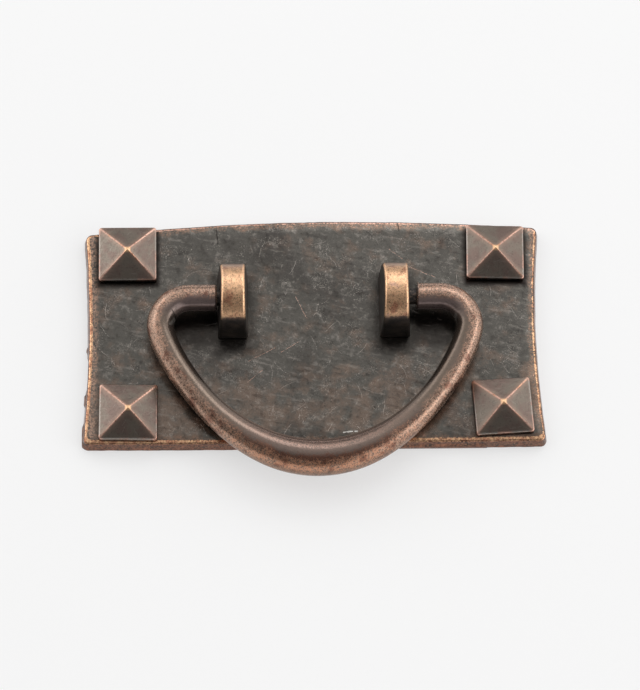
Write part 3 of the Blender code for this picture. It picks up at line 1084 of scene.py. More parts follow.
# Form of a hairline: its shift up for each one across, its bend, its solid core and where it fades
HAIR_SHIFT = 0.7
HAIR_BEND = 0.3
HAIR_CORE = 0.2
HAIR_FADES = 0.25
HAIR_ENDS = 0.5
SCRATCH_CORE = 0.3
FULL_COVER = 1.0


class Finish(Nodes):
    """A material's node tree, with named values that its layers of colour are laid by.

    clouds maps a noise's name to its grain in metres, detail, roughness and shift.
    """

    def __init__(self, name, clouds, attributes=()):
        self.material = bpy.data.materials.new(name)
        self.material.use_nodes = True
        super().__init__(self.material.node_tree)
        self.shader = self.tree.nodes["Principled BSDF"]
        self.place = self.add("ShaderNodeTexCoord").outputs["Object"]
        self.uneven = None
        self.values = {label: self.cloud(self.place, *cloud) for label, cloud in clouds.items()}
        for label in attributes:
            self.values[label] = self.add("ShaderNodeAttribute", attribute_name=label).outputs["Fac"]

    def cloud(self, place, grain, detail, roughness, shift):
        """Return smooth noise about 0.5 whose features are about one grain wide."""
        given = (place, shift, 1 / grain, detail, roughness)
        return self.add("ShaderNodeTexNoise", *given, noise_dimensions="4D").outputs["Fac"]

    def level(self, value, low, high):
        """Spread a 0 to 1 value between two levels."""
        return self.maths("MULTIPLY_ADD", value, high - low, low)

    def paint(self, under, over, cover):
        """Lay one colour over another by a mask."""
        made = self.add("ShaderNodeMix", data_type="RGBA")
        self.feed(made.inputs[0], cover)
        for socket, value in ((made.inputs[6], under), (made.inputs[7], over)):
            self.feed(socket, value if isinstance(value, bpy.types.NodeSocket) else (*value, 1.0))
        return made.outputs[2]

    def mask(self, bound):
        """Return a named value, or its soft step if the bound says where that begins and is full."""
        if isinstance(bound, str):
            return self.values[bound]
        name, begins, full = bound
        return self.step(self.values[name], begins, full)

    def lay(self, under, over, cover, *bounds):
        """Lay one colour over another at a cover, inside all its bounds."""
        return self.paint(under, over, self.times(*[self.mask(bound) for bound in bounds], cover))

    def coat(self, base, colours, layers):
        """Lay colours over a base in turn, each with its name, its cover and its bounds."""
        for name, cover, *bounds in layers:
            base = self.lay(base, getattr(colours, name), cover, *bounds)
        return base

    def relief(self, depths):
        """Return the surface's direction after reliefs, each a named value and its depth in metres."""
        normal = None
        for name, depth in depths.items():
            into = {"Strength": 1.0, "Distance": depth, "Height": self.values[name], "Normal": normal}
            normal = self.add("ShaderNodeBump", into=into).outputs["Normal"]
        return normal

    def wobbled(self):
        """Return the place with a small unevenness, made once."""
        if self.uneven is None:
            warp = self.add("ShaderNodeTexNoise", self.place, None, WOBBLE_SCALE).outputs["Color"]
            self.uneven = self.vector("ADD", self.place, self.vector("SCALE", warp, Scale=WOBBLE_REACH))
        return self.uneven

    def turned(self, vector, angle):
        """Return a vector turned about Z."""
        into = {"Vector": vector, "Angle": angle}
        return self.add("ShaderNodeVectorRotate", into=into, rotation_type="Z_AXIS").outputs["Vector"]

    def hairlines(self, cell, width, cover, shift):
        """Return scattered fine scratches, each a short bent stroke with a direction of its own."""
        flat = self.vector("MULTIPLY", self.wobbled(), FLATTENED)
        moved = self.vector("ADD", flat, (shift, shift * HAIR_SHIFT, 0.0))
        into = {"Vector": moved, "Scale": 1 / cell}
        cells = self.add("ShaderNodeTexVoronoi", into=into, voronoi_dimensions="2D", feature="F1").outputs
        chance = self.split(cells["Color"])
        away = self.vector("SUBTRACT", moved, cells["Position"])
        apart = self.split(self.turned(away, self.times(chance["X"], 2 * math.pi)))
        along = apart["X"]
        bend = self.times(along, along, HAIR_BEND / cell)
        line = self.rest(self.step(self.gap(apart["Y"], bend), width * HAIR_CORE, width))
        reach = self.rest(self.step(self.maths("ABSOLUTE", along), cell * HAIR_FADES, cell * HAIR_ENDS))
        shown = self.maths("GREATER_THAN", chance["Y"], 1 - cover)
        return self.times(line, reach, shown)

    def scratch(self, start, end, width):
        """Return one straight scratch between two places on the plate, in metres."""
        start = Vector((*start, 0.0))
        run = Vector((*end, 0.0)) - start
        flat = self.vector("MULTIPLY", self.wobbled(), FLATTENED)
        away = self.vector("SUBTRACT", flat, start)
        travel = self.vector("DOT_PRODUCT", away, run / run.length_squared)
        nearest = self.vector("SCALE", run, Scale=self.maths("MULTIPLY", travel, 1.0, clamp=True))
        gap = self.vector("LENGTH", self.vector("SUBTRACT", away, nearest))
        return self.rest(self.step(gap, width * SCRATCH_CORE, width))

    def scratches(self, strokes, width):
        """Return several scratches of one width, each from one place to another."""
        return self.most([self.scratch(start, end, width) for start, end in strokes])

    def done(self, base, metallic, roughness, depths):
        """Feed the shader and return the material."""
        self.feed(self.shader.inputs["Base Color"], base)
        self.feed(self.shader.inputs["Metallic"], metallic)
        self.feed(self.shader.inputs["Roughness"], roughness)
        self.feed(self.shader.inputs["Normal"], self.relief(depths))
        return self.material


# Finish of the plate

# Grain in metres, detail, roughness and shift of each noise, here and in the finishes below
PLATE_CLOUDS = {
    "drift": (0.018, 4.0, 0.6, 0.0),
    "stains": (0.0050, 5.0, 0.65, 2.0),
    "mottle": (0.0014, 4.0, 0.65, 9.0),
    "grain": (0.00042, 3.0, 0.7, 12.0),
    "cluster": (0.0040, 4.0, 0.6, 21.0),
    "dots": (0.00032, 1.0, 0.55, 23.0),
}
STREAK_CLOUD = (0.0008, 3.0, 0.6, 31.0)
STREAK_SLANT = math.radians(14)
STREAK_SQUEEZE = 0.16
# Where the brown of the lower field begins and is full, and how much it adds above and below
BROWN_FROM = -0.010
BROWN_FULL = -0.026
BROWN_SHARE = (-0.05, 0.08)
LEFT_BAND = -0.0498
LEFT_BAND_FULL = -0.0524
TOP_LINE = 0.0188
TOP_LINE_FULL = 0.0196
CLUSTERED = ("cluster", 0.48, 0.62)
# Colour and cover of each layer, then its bounds: a value, where the layer begins and where it is full
FIELD_LAYERS = (
    ("umber", 0.85, ("browned", 0.44, 0.66)),
    ("soot", 0.45, ("drift", 0.50, 0.68)),
    ("black", 0.38, ("mottle", 0.53, 0.68)),
    ("scratch", 0.26, ("mottle", 0.46, 0.32)),
    ("scratch", 0.22, ("streaks", 0.56, 0.70)),
    ("black", 0.30, ("streaks", 0.44, 0.30)),
    ("black", 0.40, ("grain", 0.55, 0.70)),
    ("scratch", 0.42, ("dots", 0.56, 0.66), CLUSTERED),
)
BORDER_LAYERS = (
    ("brown", 0.85, ("ragged", 0.30, 0.75), ("grain", 0.42, 0.56)),
    ("blush", 1.0, ("ragged", 0.45, 0.9), ("grain", 0.60, 0.68), "glints"),
    ("rose", 0.80, ("across", LEFT_BAND, LEFT_BAND_FULL), ("grain", 0.44, 0.58)),
    # black laid as painted shade round the posts, the studs and the bail's upper bends
    ("black", 1.0, "dirt"),
)
SIDE_LAYERS = (
    ("copper", 0.48, ("grain", 0.38, 0.64)),
    ("russet", 0.62, ("mottle", 0.38, 0.62)),
    ("copper", 0.44, ("mottle", 0.50, 0.72)),
)
LINE_LAYERS = (
    ("gold", 1.0, ("mottle", 0.40, 0.56)),
    ("blush", 1.0, ("up", TOP_LINE, TOP_LINE_FULL)),
    ("russet", 0.7, ("grain", 0.52, 0.42)),
)
# Between which two levels a value is spread, where a pair of numbers stands alone
BORDER_STAINS = (-1.0, 1.0)
BORDER_LEFT = (0.0, 0.30)
GLINT_COVERS = (0.7, 0.9)
WEAR_GRAIN = (-0.26, 0.26)
WEAR_STAINS = (-0.34, 0.34)
PLATE_METALLIC = 0.96
PLATE_ROUGHNESS = (0.17, 0.33)
# Depth in metres of each relief, the coarsest first
PLATE_RELIEF = {"drift": 0.0003, "mottle": 0.00004, "grain": 0.000015, "cuts": -0.00002}
SIDE_BOUND = ("wall", 0.1, 0.5)
LINE_BOUNDS = (("uneven wear", 0.55, 0.82), ("wear", 0.30, 0.55))
# Cell, width, cover and shift of the long and the two short kinds of hairlines
LONG_HAIRS = (0.0052, 0.00007, 0.45, 0.31)
SHORT_HAIRS = ((0.0028, 0.00006, 0.60, 0.77), (0.0017, 0.00006, 0.55, 0.13))
# Places of the deeper scratches on the plate's field, from and to
PALE_SCRATCHES = (
    ((-0.01549, -0.01363), (-0.00899, -0.01012)),
    ((-0.00388, 0.00283), (-0.00140, -0.00254)),
    ((-0.01543, -0.01868), (-0.01200, -0.01574)),
    ((-0.00784, -0.01147), (-0.00332, -0.00846)),
    ((0.02076, 0.01135), (0.02920, 0.00767)),
    ((0.01850, 0.01500), (0.02150, 0.01250)),
)
PALE_WIDTH = 0.00013
# A pale streak painted on the field just inside the grip, from and to
GRIP_PALE_STREAK = (
    ((0.0066, -0.03150), (0.0082, -0.03132)),
    ((0.0082, -0.03132), (0.0098, -0.03120)),
)
GRIP_STREAK_WIDTH = 0.00022
RIM_NICKS = (
    ((-0.0225, 0.0202), (-0.0221, 0.0166)),
    ((0.0208, 0.0220), (0.0210, 0.0196)),
)
NICK_WIDTH = 0.00016
NICK_COVER = 0.8
# Colour and cover of the hairlines, the deeper scratches and the pale streak, and where the grain breaks them
CUT_LAYERS = (
    ("scratch", 0.58, ("grain", 0.40, 0.52)),
    ("blush", 0.50, ("grain", 0.44, 0.54)),
    ("bare", 0.75, ("grain", 0.40, 0.50)),
)
# Painted shade on the field round the posts and under the bail's upper bends, where their shadows and dark
# reflections fall: half width, half height, how far its edge fades out, and cover
POST_SHADE = (0.0036, 0.0088, 0.0034, 0.56)
POST_SHADE_Y = -0.0018
BEND_SHADE = (0.0040, 0.0018, 0.0046, 0.66)
BEND_SHADE_AT = (0.0270, -0.0064)
# The painted shade round the studs, set a little low where their shadows fall, has a cover for each stud
STUD_SHADE = (0.0068, 0.0068, 0.0016)
STUD_SHADE_COVERS = (0.90, 0.90, 0.32, 0.32)
STUD_SHADE_LOWER = Vector((0.0, -0.0006))


def brushed_streaks(finish):
    """Return faint streaks that run across the plate, a little aslant."""
    turned = finish.turned(finish.wobbled(), STREAK_SLANT)
    return finish.cloud(finish.vector("MULTIPLY", turned, (STREAK_SQUEEZE, 1.0, 1.0)), *STREAK_CLOUD)


def painted_shade_patch(finish, centre, half_x, half_y, fade, cover):
    """Return a dark mask that is full over a box seen from above and fades out round it."""
    squares = []
    for name, middle, half in zip(("across", "up"), centre, (half_x, half_y)):
        past = finish.maths("SUBTRACT", finish.gap(finish.values[name], middle), half)
        past = finish.maths("MAXIMUM", past, 0.0)
        squares.append(finish.times(past, past))
    away = finish.maths("SQRT", finish.plus(*squares))
    return finish.times(finish.step(away, fade, 0.0), cover)


def plate_painted_shade(finish):
    """Return the painted shade round the posts and studs and under the bail's upper bends."""
    spots = []
    for side, node in zip((-1, 1), POST_NODES):
        spots.append(painted_shade_patch(finish, (node_centre(node).x, POST_SHADE_Y), *POST_SHADE))
        spots.append(painted_shade_patch(finish, (side * BEND_SHADE_AT[0], BEND_SHADE_AT[1]), *BEND_SHADE))
    for node, cover in zip(STUD_NODES, STUD_SHADE_COVERS):
        spots.append(painted_shade_patch(finish, node_centre(node).xy + STUD_SHADE_LOWER, *STUD_SHADE, cover))
    return finish.most(spots)


def cut_field(finish, colours, base):
    """Add the hairlines, the deeper scratches and a pale streak inside the grip. Return the colour and the
    cuts.
    """
    short = finish.most([finish.hairlines(*hairs) for hairs in SHORT_HAIRS])
    fine = finish.most([finish.hairlines(*LONG_HAIRS), finish.times(short, finish.mask(CLUSTERED))])
    deep = finish.scratches(PALE_SCRATCHES, PALE_WIDTH)
    # the pale streak painted on the field inside the grip
    struck = finish.scratches(GRIP_PALE_STREAK, GRIP_STREAK_WIDTH)
    cuts = []
    for strokes, (name, cover, broken) in zip((fine, deep, struck), CUT_LAYERS):
        cuts.append(finish.times(strokes, finish.mask(broken)))
        base = finish.paint(base, getattr(colours, name), finish.times(cuts[-1], cover))
    return base, finish.most(cuts)


def plate_patina(colours):
    """Dark mottled field, a speckled brown border and an edge rubbed to gold."""
    finish = Finish("plate_patina", PLATE_CLOUDS, ("border", "wall", "wear"))
    values = finish.values
    apart = finish.split(finish.place)
    values["across"] = apart["X"]
    values["up"] = apart["Y"]
    values["streaks"] = brushed_streaks(finish)
    # painted shade round the posts and studs and under the bail's bends
    values["dirt"] = plate_painted_shade(finish)
    stains = values["stains"]
    grain = values["grain"]
    lower = finish.step(values["up"], BROWN_FROM, BROWN_FULL)
    left_side = finish.step(values["across"], LEFT_BAND, LEFT_BAND_FULL)
    values["browned"] = finish.plus(stains, finish.level(lower, *BROWN_SHARE))
    ragged = finish.plus(values["border"], finish.level(stains, *BORDER_STAINS))
    values["ragged"] = finish.plus(ragged, finish.level(left_side, *BORDER_LEFT))
    values["glints"] = finish.level(left_side, *GLINT_COVERS)
    unevenness = finish.plus(finish.level(grain, *WEAR_GRAIN), finish.level(stains, *WEAR_STAINS))
    values["uneven wear"] = finish.plus(values["wear"], unevenness)

    base, values["cuts"] = cut_field(finish, colours, finish.coat(colours.olive, colours, FIELD_LAYERS))
    base = finish.coat(base, colours, BORDER_LAYERS)
    base = finish.lay(base, finish.coat(colours.soot, colours, SIDE_LAYERS), FULL_COVER, SIDE_BOUND)
    base = finish.lay(base, finish.coat(colours.copper, colours, LINE_LAYERS), FULL_COVER, *LINE_BOUNDS)
    nicks = finish.scratches(RIM_NICKS, NICK_WIDTH)
    base = finish.paint(base, colours.black, finish.times(nicks, NICK_COVER))
    return finish.done(base, PLATE_METALLIC, finish.level(stains, *PLATE_ROUGHNESS), PLATE_RELIEF)


# Finish of the posts

POST_CLOUDS = {
    "grain": (0.00030, 2.0, 0.6, 3.0),
    "specks": (0.0007, 3.0, 0.7, 5.0),
    "blotch": (0.0026, 3.0, 0.6, 6.0),
}
# Heights above the pivot line where the rim's rubbed gold begins and is full, and how ragged that border is.
# Below it the rim is painted dark, partly as wear and partly as painted shade where it faces the dark plate
UPPER_FROM = 0.0032
UPPER_FULL = 0.0050
UPPER_RAGGED = 0.0008
RIM_LAYERS = (
    ("gold", 1.0, ("blotch", 0.34, 0.48)),
    ("blush", 0.7, ("blotch", 0.56, 0.68)),
    ("brown", 0.36, ("specks", 0.48, 0.60)),
    ("russet", 0.46, ("grain", 0.52, 0.62)),
    ("black", 0.65, ("grain", 0.60, 0.68)),
    # mauve at the foot of the rubbed gold and across the rim's back: painted shade
    ("mauve", 0.85, ("uneven upper", 0.75, 0.35)),
    ("mauve", 0.75, ("up", 0.0036, 0.0062)),
)
LEG_LAYERS = (("pewter", 0.60, ("blotch", 0.35, 0.80)),)
RIM_BOUND = ("rim", 0.35, 0.75)
# Gold along the rim's rounded edges: painted highlight over edge wear
SHINE_BOUNDS = (("edge", 0.35, 0.80), ("grain", 0.66, 0.50))
SHINE_COVERS = (0.0, 0.95)
FOOT_BLOTCH = (-0.6, 0.6)
POST_METALLIC = (0.70, 0.95)
POST_ROUGHNESS = (0.24, 0.40)
RUBBED_ROUGHNESS = (0.08, 0.0)
POST_RELIEF = {"grain": 0.00004, "specks": 0.00006}


def post_copper(colours):
    """Sides in black patina and a rim rubbed to gold, with dark specks. The rim's lower front is painted
    dark, partly as painted shade, and its back greyer as painted shade.
    """
    finish = Finish("post_copper", POST_CLOUDS, ("rim", "edge"))
    values = finish.values
    apart = finish.split(finish.place)
    values["up"] = apart["Y"]
    ragged = finish.plus(apart["Z"], finish.level(values["specks"], -UPPER_RAGGED, UPPER_RAGGED))
    upper = finish.step(ragged, PIVOT.z + UPPER_FROM, PIVOT.z + UPPER_FULL)
    values["uneven upper"] = finish.plus(upper, finish.level(values["blotch"], *FOOT_BLOTCH))
    # where the rim is bright; the rest is painted dark, in part as painted shade
    rubbed = finish.times(finish.mask(RIM_BOUND), upper)

    bright = finish.coat(colours.copper, colours, RIM_LAYERS)
    base = finish.paint(finish.coat(colours.soot, colours, LEG_LAYERS), bright, rubbed)
    # painted highlight: gold along the rounded edges, high up
    base = finish.lay(base, colours.gold, finish.level(upper, *SHINE_COVERS), *SHINE_BOUNDS)
    grained = finish.level(values["grain"], *POST_ROUGHNESS)
    roughness = finish.plus(grained, finish.level(rubbed, *RUBBED_ROUGHNESS))
    return finish.done(base, finish.level(rubbed, *POST_METALLIC), roughness, POST_RELIEF)


# Finish of the bail

BAIL_CLOUDS = {
    "grain": (0.00036, 2.0, 0.6, 1.0),
    "specks": (0.0009, 3.0, 0.7, 4.0),
    "patches": (0.0060, 4.0, 0.6, 8.0),
    "red": (0.0035, 4.0, 0.65, 14.0),
}
# Where the outer, rubbed skin begins on the bail's arms, its bar ends and its grip
ARM_BARE = 0.05
END_BARE = -0.30
GRIP_BARE = 0.36
# How far the bar ends' finish reaches along the sweep and where it is full
END_REACH = 0.26
END_FULL = 0.104
TRIMMED_END = 0.006
SMOOTH_LAYERS = (
    ("heather", 1.0, "lilac"),
    # soot on the arms' inner side: painted shade that dims a reflection there
    ("soot", 0.25, ("outer", -0.25, -0.65), "arms"),
    ("mauve", 0.9, "grip"),
    ("blush", 0.42, ("outer", 0.00, -0.40), ("grain", 0.40, 0.58), "grip"),
    ("soot", 0.30, ("grain", 0.52, 0.66)),
)
WARM_LAYERS = (
    ("rose", 1.0, ("grain", 0.38, 0.60)),
    ("copper", 1.0, ("speckle", 0.49, 0.61), "bareness"),
    ("russet", 0.75, ("red", 0.52, 0.64)),
    ("soot", 0.5, ("grain", 0.44, 0.34)),
    # pewter on the grip's outermost side: painted reflection of the floor
    ("pewter", 0.6, ("outer", 0.86, 0.97), "grip"),
)
BAIL_LAYERS = (
    ("russet", 0.8, "border", "grip"),
    ("scratch", 0.8, "seam", ("patches", 0.38, 0.48)),
    # black on the bar's downward side: painted shade
    ("black", 0.35, ("upper", -0.15, -0.65)),
    ("scratch", 0.85, "rubs"),
    # black along the left bend's crease: painted shade
    ("black", 0.9, "crease"),
    ("bare", 0.8, ("from_end", TRIMMED_END, TRIMMED_END * 0.5), ("across", 0.0, 0.001), ("outer", -0.1, 0.3)),
)
LILAC_PATCHES = ("patches", 0.52, 0.36)
LILAC_COVER = 0.2
# How ragged the rubbed skin's border is, where it begins and is full, and what makes it full halfway
TORN_PATCHES = (-0.6, 0.6)
TORN_GRAIN = (-0.3, 0.3)
WORN_STEP = (-0.20, 0.25)
HALFWAY_GAIN = 4.0
SPECKLE_SPECKS = (0.0, 0.45)
SPECKLE_GRAIN = (0.0, 0.55)
SPECKLE_GRIP = (0.0, 0.07)
COPPER_COVERS = (0.40, 0.95)
BAIL_METALLIC = (0.83, 0.68)
BAIL_ROUGHNESS = (0.16, 0.28)
WORN_ROUGHNESS = (0.0, 0.05)
BAIL_RELIEF = {"specks": 0.00003, "grain": 0.00002}
# A dark line painted as the shade of a crease in the left bend, and pale rubbed spots in both inner bends,
# from and to, seen from above
BEND_CREASE_SHADE = ((-0.0330, -0.0037), (-0.0321, -0.0050))
CREASE_SHADE_WIDTH = 0.00018
BEND_RUBS = (
    ((-0.0325, -0.0054), (-0.0334, -0.0070)),
    ((0.0332, -0.0050), (0.0331, -0.0068)),
)
RUB_WIDTH = 0.00050


def bail_worn(finish, near_end):
    """Return where the rubbed outer skin lies, with a border torn by the patches and the grain."""
    values = finish.values
    bare = finish.level(values["grip"], ARM_BARE, GRIP_BARE)
    bare = finish.plus(bare, finish.level(near_end, 0.0, END_BARE - ARM_BARE))
    ragged = finish.plus(values["outer"], finish.level(values["patches"], *TORN_PATCHES))
    ragged = finish.plus(ragged, finish.level(values["grain"], *TORN_GRAIN))
    return finish.step(finish.maths("SUBTRACT", ragged, bare), *WORN_STEP)


def bail_copper(colours):
    """Speckled copper-brown on the outer side, dark and smoother towards the inner side."""
    finish = Finish("bail_copper", BAIL_CLOUDS, ("outer", "grip", "from_end", "seam", "upper"))
    values = finish.values
    grip = values["grip"]
    grain = values["grain"]
    near_end = finish.step(values["from_end"], END_REACH, END_FULL)
    worn = bail_worn(finish, near_end)
    values["lilac"] = finish.most([near_end, finish.times(finish.mask(LILAC_PATCHES), LILAC_COVER)])
    values["arms"] = finish.rest(finish.most([grip, near_end]))
    speckle = finish.level(values["specks"], *SPECKLE_SPECKS)
    speckle = finish.plus(speckle, finish.level(grain, *SPECKLE_GRAIN))
    values["speckle"] = finish.plus(speckle, finish.level(grip, *SPECKLE_GRIP))
    values["bareness"] = finish.level(grip, *COPPER_COVERS)
    values["border"] = finish.times(worn, finish.rest(worn), HALFWAY_GAIN)
    values["rubs"] = finish.scratches(BEND_RUBS, RUB_WIDTH)
    values["crease"] = finish.scratch(*BEND_CREASE_SHADE, CREASE_SHADE_WIDTH)
    values["across"] = finish.split(finish.place)["X"]

    smooth = finish.coat(colours.pewter, colours, SMOOTH_LAYERS)
    warm = finish.coat(colours.brown, colours, WARM_LAYERS)
    base = finish.coat(finish.paint(smooth, warm, worn), colours, BAIL_LAYERS)
    roughness = finish.plus(finish.level(grain, *BAIL_ROUGHNESS), finish.level(worn, *WORN_ROUGHNESS))
    return finish.done(base, finish.level(near_end, *BAIL_METALLIC), roughness, BAIL_RELIEF)


# Finish of the pivot pins

PIN_CLOUDS = {"grain": (0.0006, 3.0, 0.6, 0.0)}
PIN_LAYERS = (("umber", 1.0, ("grain", 0.45, 0.65)),)
PIN_METALLIC = 0.65
PIN_ROUGHNESS = (0.35, 0.6)
PIN_RELIEF = {"grain": 0.00003}


def pin_black(colours):
    """Black oxide on the pivot pins."""
    finish = Finish("pin_black", PIN_CLOUDS)
    base = finish.coat(colours.soot, colours, PIN_LAYERS)
    roughness = finish.level(finish.values["grain"], *PIN_ROUGHNESS)
    return finish.done(base, PIN_METALLIC, roughness, PIN_RELIEF)


# Finish of the studs

STUD_CLOUDS = {
    "grain": (0.00036, 2.0, 0.6, 2.0),
    "clouds": (0.0036, 4.0, 0.6, 7.0),
}
STUD_HAIRS = (0.0020, 0.00006, 0.5, 0.21)
STUD_EDGE_RAGGED = 0.00022
FACE_LAYERS = (
    ("mauve", 1.0, ("clouds", 0.40, 0.60)),
    ("soot", 0.30, ("grain", 0.54, 0.70)),
    ("scratch", 0.35, "hairs"),
    ("rose", 0.30, ("off ridge", 0.0020, 0.0003)),
    # near black on the side wall under the rim: painted shade and painted reflection of the dark field, over
    # its patina
    ("black", 0.92, "wall"),
)
STUD_RIM_LAYERS = (("blush", 1.0, ("clouds", 0.46, 0.60)),)
STUD_RIDGE_LAYERS = (
    ("blush", 1.0, ("clouds", 0.32, 0.48)),
    ("russet", 0.7, ("grain", 0.50, 0.38)),
)
STUD_RIM_BOUND = ("off rim", 0.00026, 0.00008)
STUD_RIDGE_BOUND = ("off ridge", 0.00052, 0.00012)
# The rim is laid thinner along the back
RIM_COVERS = (0.62, 0.20)
RIDGE_COVERS = (0.50, 0.95)
TIP_LAYERS = (
    ("blush", 0.9, "horns", STUD_RIM_BOUND),
    ("gold", 1.0, ("reach", 0.0009, 0.0004)),
)
# Shares of the head's size where its horns, its back rim and its ridges' fading begin and are full
HORN_SHARES = (0.40, 0.47)
BACK_SHARES = (0.44, 0.48)
RIDGE_SHARES = (0.60, 0.10)
# Shares of the rim's rounding: how far in its line lies, and the wall's dark above and below it
RIM_LINE_SHARE = 0.5
WALL_ABOVE_SHARE = 0.3
WALL_BELOW_SHARE = 0.5
STUD_METALLIC = 1.0
STUD_ROUGHNESS = (0.24, 0.36)
STUD_RELIEF = {"clouds": 0.00012, "grain": 0.000025}


def stud_places(finish, studs):
    """Name the values that say where on its head a place lies."""
    values = finish.values
    spot = finish.add("ShaderNodeAttribute", attribute_name="stud_place").outputs["Vector"]
    apart = finish.split(spot)
    across = finish.maths("ABSOLUTE", apart["X"])
    up = finish.maths("ABSOLUTE", apart["Y"])
    reach = finish.maths("MAXIMUM", across, up)
    rough_edge = finish.level(values["grain"], -STUD_EDGE_RAGGED, STUD_EDGE_RAGGED)
    values["reach"] = reach
    values["off ridge"] = finish.plus(finish.gap(across, up), rough_edge)
    rim_line = studs.size / 2 - studs.rounding * RIM_LINE_SHARE
    values["off rim"] = finish.plus(finish.gap(reach, rim_line), rough_edge)
    corner = finish.maths("MINIMUM", across, up)
    values["horns"] = finish.step(corner, *[studs.size * part for part in HORN_SHARES])
    values["back"] = finish.step(apart["Y"], *[studs.size * part for part in BACK_SHARES])
    values["inner"] = finish.step(reach, *[studs.size * part for part in RIDGE_SHARES])
    wall_top = PLATE_HIGH.z + SEAT_GAP + studs.wall - studs.rounding
    above = wall_top + studs.rounding * WALL_ABOVE_SHARE
    values["wall"] = finish.step(apart["Z"], above, wall_top - studs.rounding * WALL_BELOW_SHARE)


def stud_copper(colours, studs):
    """Slate faces whose ridges, rim and tip are rubbed to copper."""
    finish = Finish("stud_copper", STUD_CLOUDS)
    values = finish.values
    stud_places(finish, studs)
    values["hairs"] = finish.hairlines(*STUD_HAIRS)
    rim_colour = finish.coat(colours.scratch, colours, STUD_RIM_LAYERS)
    ridge_colour = finish.coat(colours.copper, colours, STUD_RIDGE_LAYERS)

    base = finish.coat(colours.slate, colours, FACE_LAYERS)
    base = finish.lay(base, rim_colour, finish.level(values["back"], *RIM_COVERS), STUD_RIM_BOUND)
    base = finish.lay(base, ridge_colour, finish.level(values["inner"], *RIDGE_COVERS), STUD_RIDGE_BOUND)
    base = finish.coat(base, colours, TIP_LAYERS)
    roughness = finish.level(values["clouds"], *STUD_ROUGHNESS)
    return finish.done(base, STUD_METALLIC, roughness, STUD_RELIEF)


# Finish of the floor

PAPER_CLOUDS = {"tooth": (0.002, 2.0, 0.55, 0.0)}
PAPER_SHADE = 0.99
PAPER_METALLIC = 0.0
PAPER_ROUGHNESS = (0.85, 0.95)
PAPER_RELIEF = {"tooth": 0.00001}
SEEN_RAYS = ("Is Camera Ray", "Is Glossy Ray", "Is Transmission Ray")
WHITE = (1.0, 1.0, 1.0, 1.0)


def floor_paper(settings):
    """Plain matt paper with a barely visible tooth, partly white of its own for the camera."""
    finish = Finish("floor_paper", PAPER_CLOUDS)
    tooth = finish.values["tooth"]
    base = finish.paint([value * PAPER_SHADE for value in settings.paper], settings.paper, tooth)
    material = finish.done(base, PAPER_METALLIC, finish.level(tooth, *PAPER_ROUGHNESS), PAPER_RELIEF)
    glow = finish.add("ShaderNodeEmission", WHITE).outputs["Emission"]
    rays = finish.add("ShaderNodeLightPath").outputs
    seen = finish.times(finish.most([rays[name] for name in SEEN_RAYS]), settings.paper_glow)
    blend = finish.add("ShaderNodeMixShader", seen, finish.shader.outputs["BSDF"], glow).outputs["Shader"]
    finish.feed(finish.tree.nodes["Material Output"].inputs["Surface"], blend)
    return material


# Stage

FLOOR_HALF_WIDTH = 4.0
CLIP_START = 0.01
CLIP_END = 20.0
LAMP_DISTANCE = 0.7
LAMP_AIM = Vector((0.0, -0.006, 0.0))
# Name, azimuth and elevation in degrees, width and height in metres
KEY_LAMP = ("key_lamp", 154.0, 46.0, 0.34, 0.30)
LEFT_LAMP = ("left_lamp", -128.0, 27.0, 0.60, 0.26)
RIGHT_LAMP = ("right_lamp", 84.0, 25.0, 0.60, 0.20)
# The room's bright ring, as heights on the unit sphere: it reaches less high in front
RING_TOP = 0.55
FRONT_RING_TOP = -0.03
RING_FADE = 0.30
FRONT_WAY = (-0.40, -0.92, 0.0)
FRONT_FROM = 0.25
FRONT_FULL = 0.85
FRONT_REACH = 0.45
BEHIND_FROM = 0.88
BEHIND_FULL = 0.98


def direction(azimuth, elevation):
    """Return the way to a place round the pull. Azimuth 0 lies in front and 90 to the right."""
    turn = math.radians(azimuth)
    rise = math.radians(elevation)
    return Vector((math.sin(turn) * math.cos(rise), -math.cos(turn) * math.cos(rise), math.sin(rise)))


def soft_lamp(name, azimuth, elevation, width, height, power):
    """Hang a soft lamp that points at the pull."""
    lamp = bpy.data.lights.new(name, "AREA")
    lamp.shape = "RECTANGLE"
    lamp.size = width
    lamp.size_y = height
    lamp.energy = power
    holder = bpy.data.objects.new(name, lamp)
    away = direction(azimuth, elevation)
    holder.location = LAMP_AIM + away * LAMP_DISTANCE
    holder.rotation_mode = "QUATERNION"
    holder.rotation_quaternion = (-away).to_track_quat("-Z", "Y")
    bpy.context.scene.collection.objects.link(holder)
    return holder


def room_light(settings):
    """Light the room by direction: a bright ring low down, darker above and high in front."""
    world = bpy.data.worlds.new("studio_room")
    world.use_nodes = True
    bpy.context.scene.world = world
    room = Nodes(world.node_tree)
    way = room.add("ShaderNodeTexCoord").outputs["Generated"]
    apart = room.split(way)
    forward = room.vector("DOT_PRODUCT", way, FRONT_WAY)
    ring_top = room.step(forward, FRONT_FROM, FRONT_FULL, RING_TOP, FRONT_RING_TOP)
    ring_end = room.plus(ring_top, RING_FADE)
    low = room.step(apart["Y"], BEHIND_FROM, BEHIND_FULL, settings.horizon, settings.behind)
    above = room.step(apart["Y"], -FRONT_REACH, FRONT_REACH, settings.front, settings.overhead)
    background = world.node_tree.nodes["Background"]
    room.feed(background.inputs["Strength"], room.step(apart["Z"], ring_top, ring_end, low, above))
    room.feed(background.inputs["Color"], WHITE)


def lay_floor(settings):
    """Lay a wide sheet of pale paper under the pull."""
    build = bmesh.new()
    bmesh.ops.create_grid(build, x_segments=1, y_segments=1, size=FLOOR_HALF_WIDTH)
    mesh = bpy.data.meshes.new("paper_floor")
    build.to_mesh(mesh)
    build.free()
    mesh.materials.append(floor_paper(settings))
    floor = piece_from(mesh, "paper_floor")


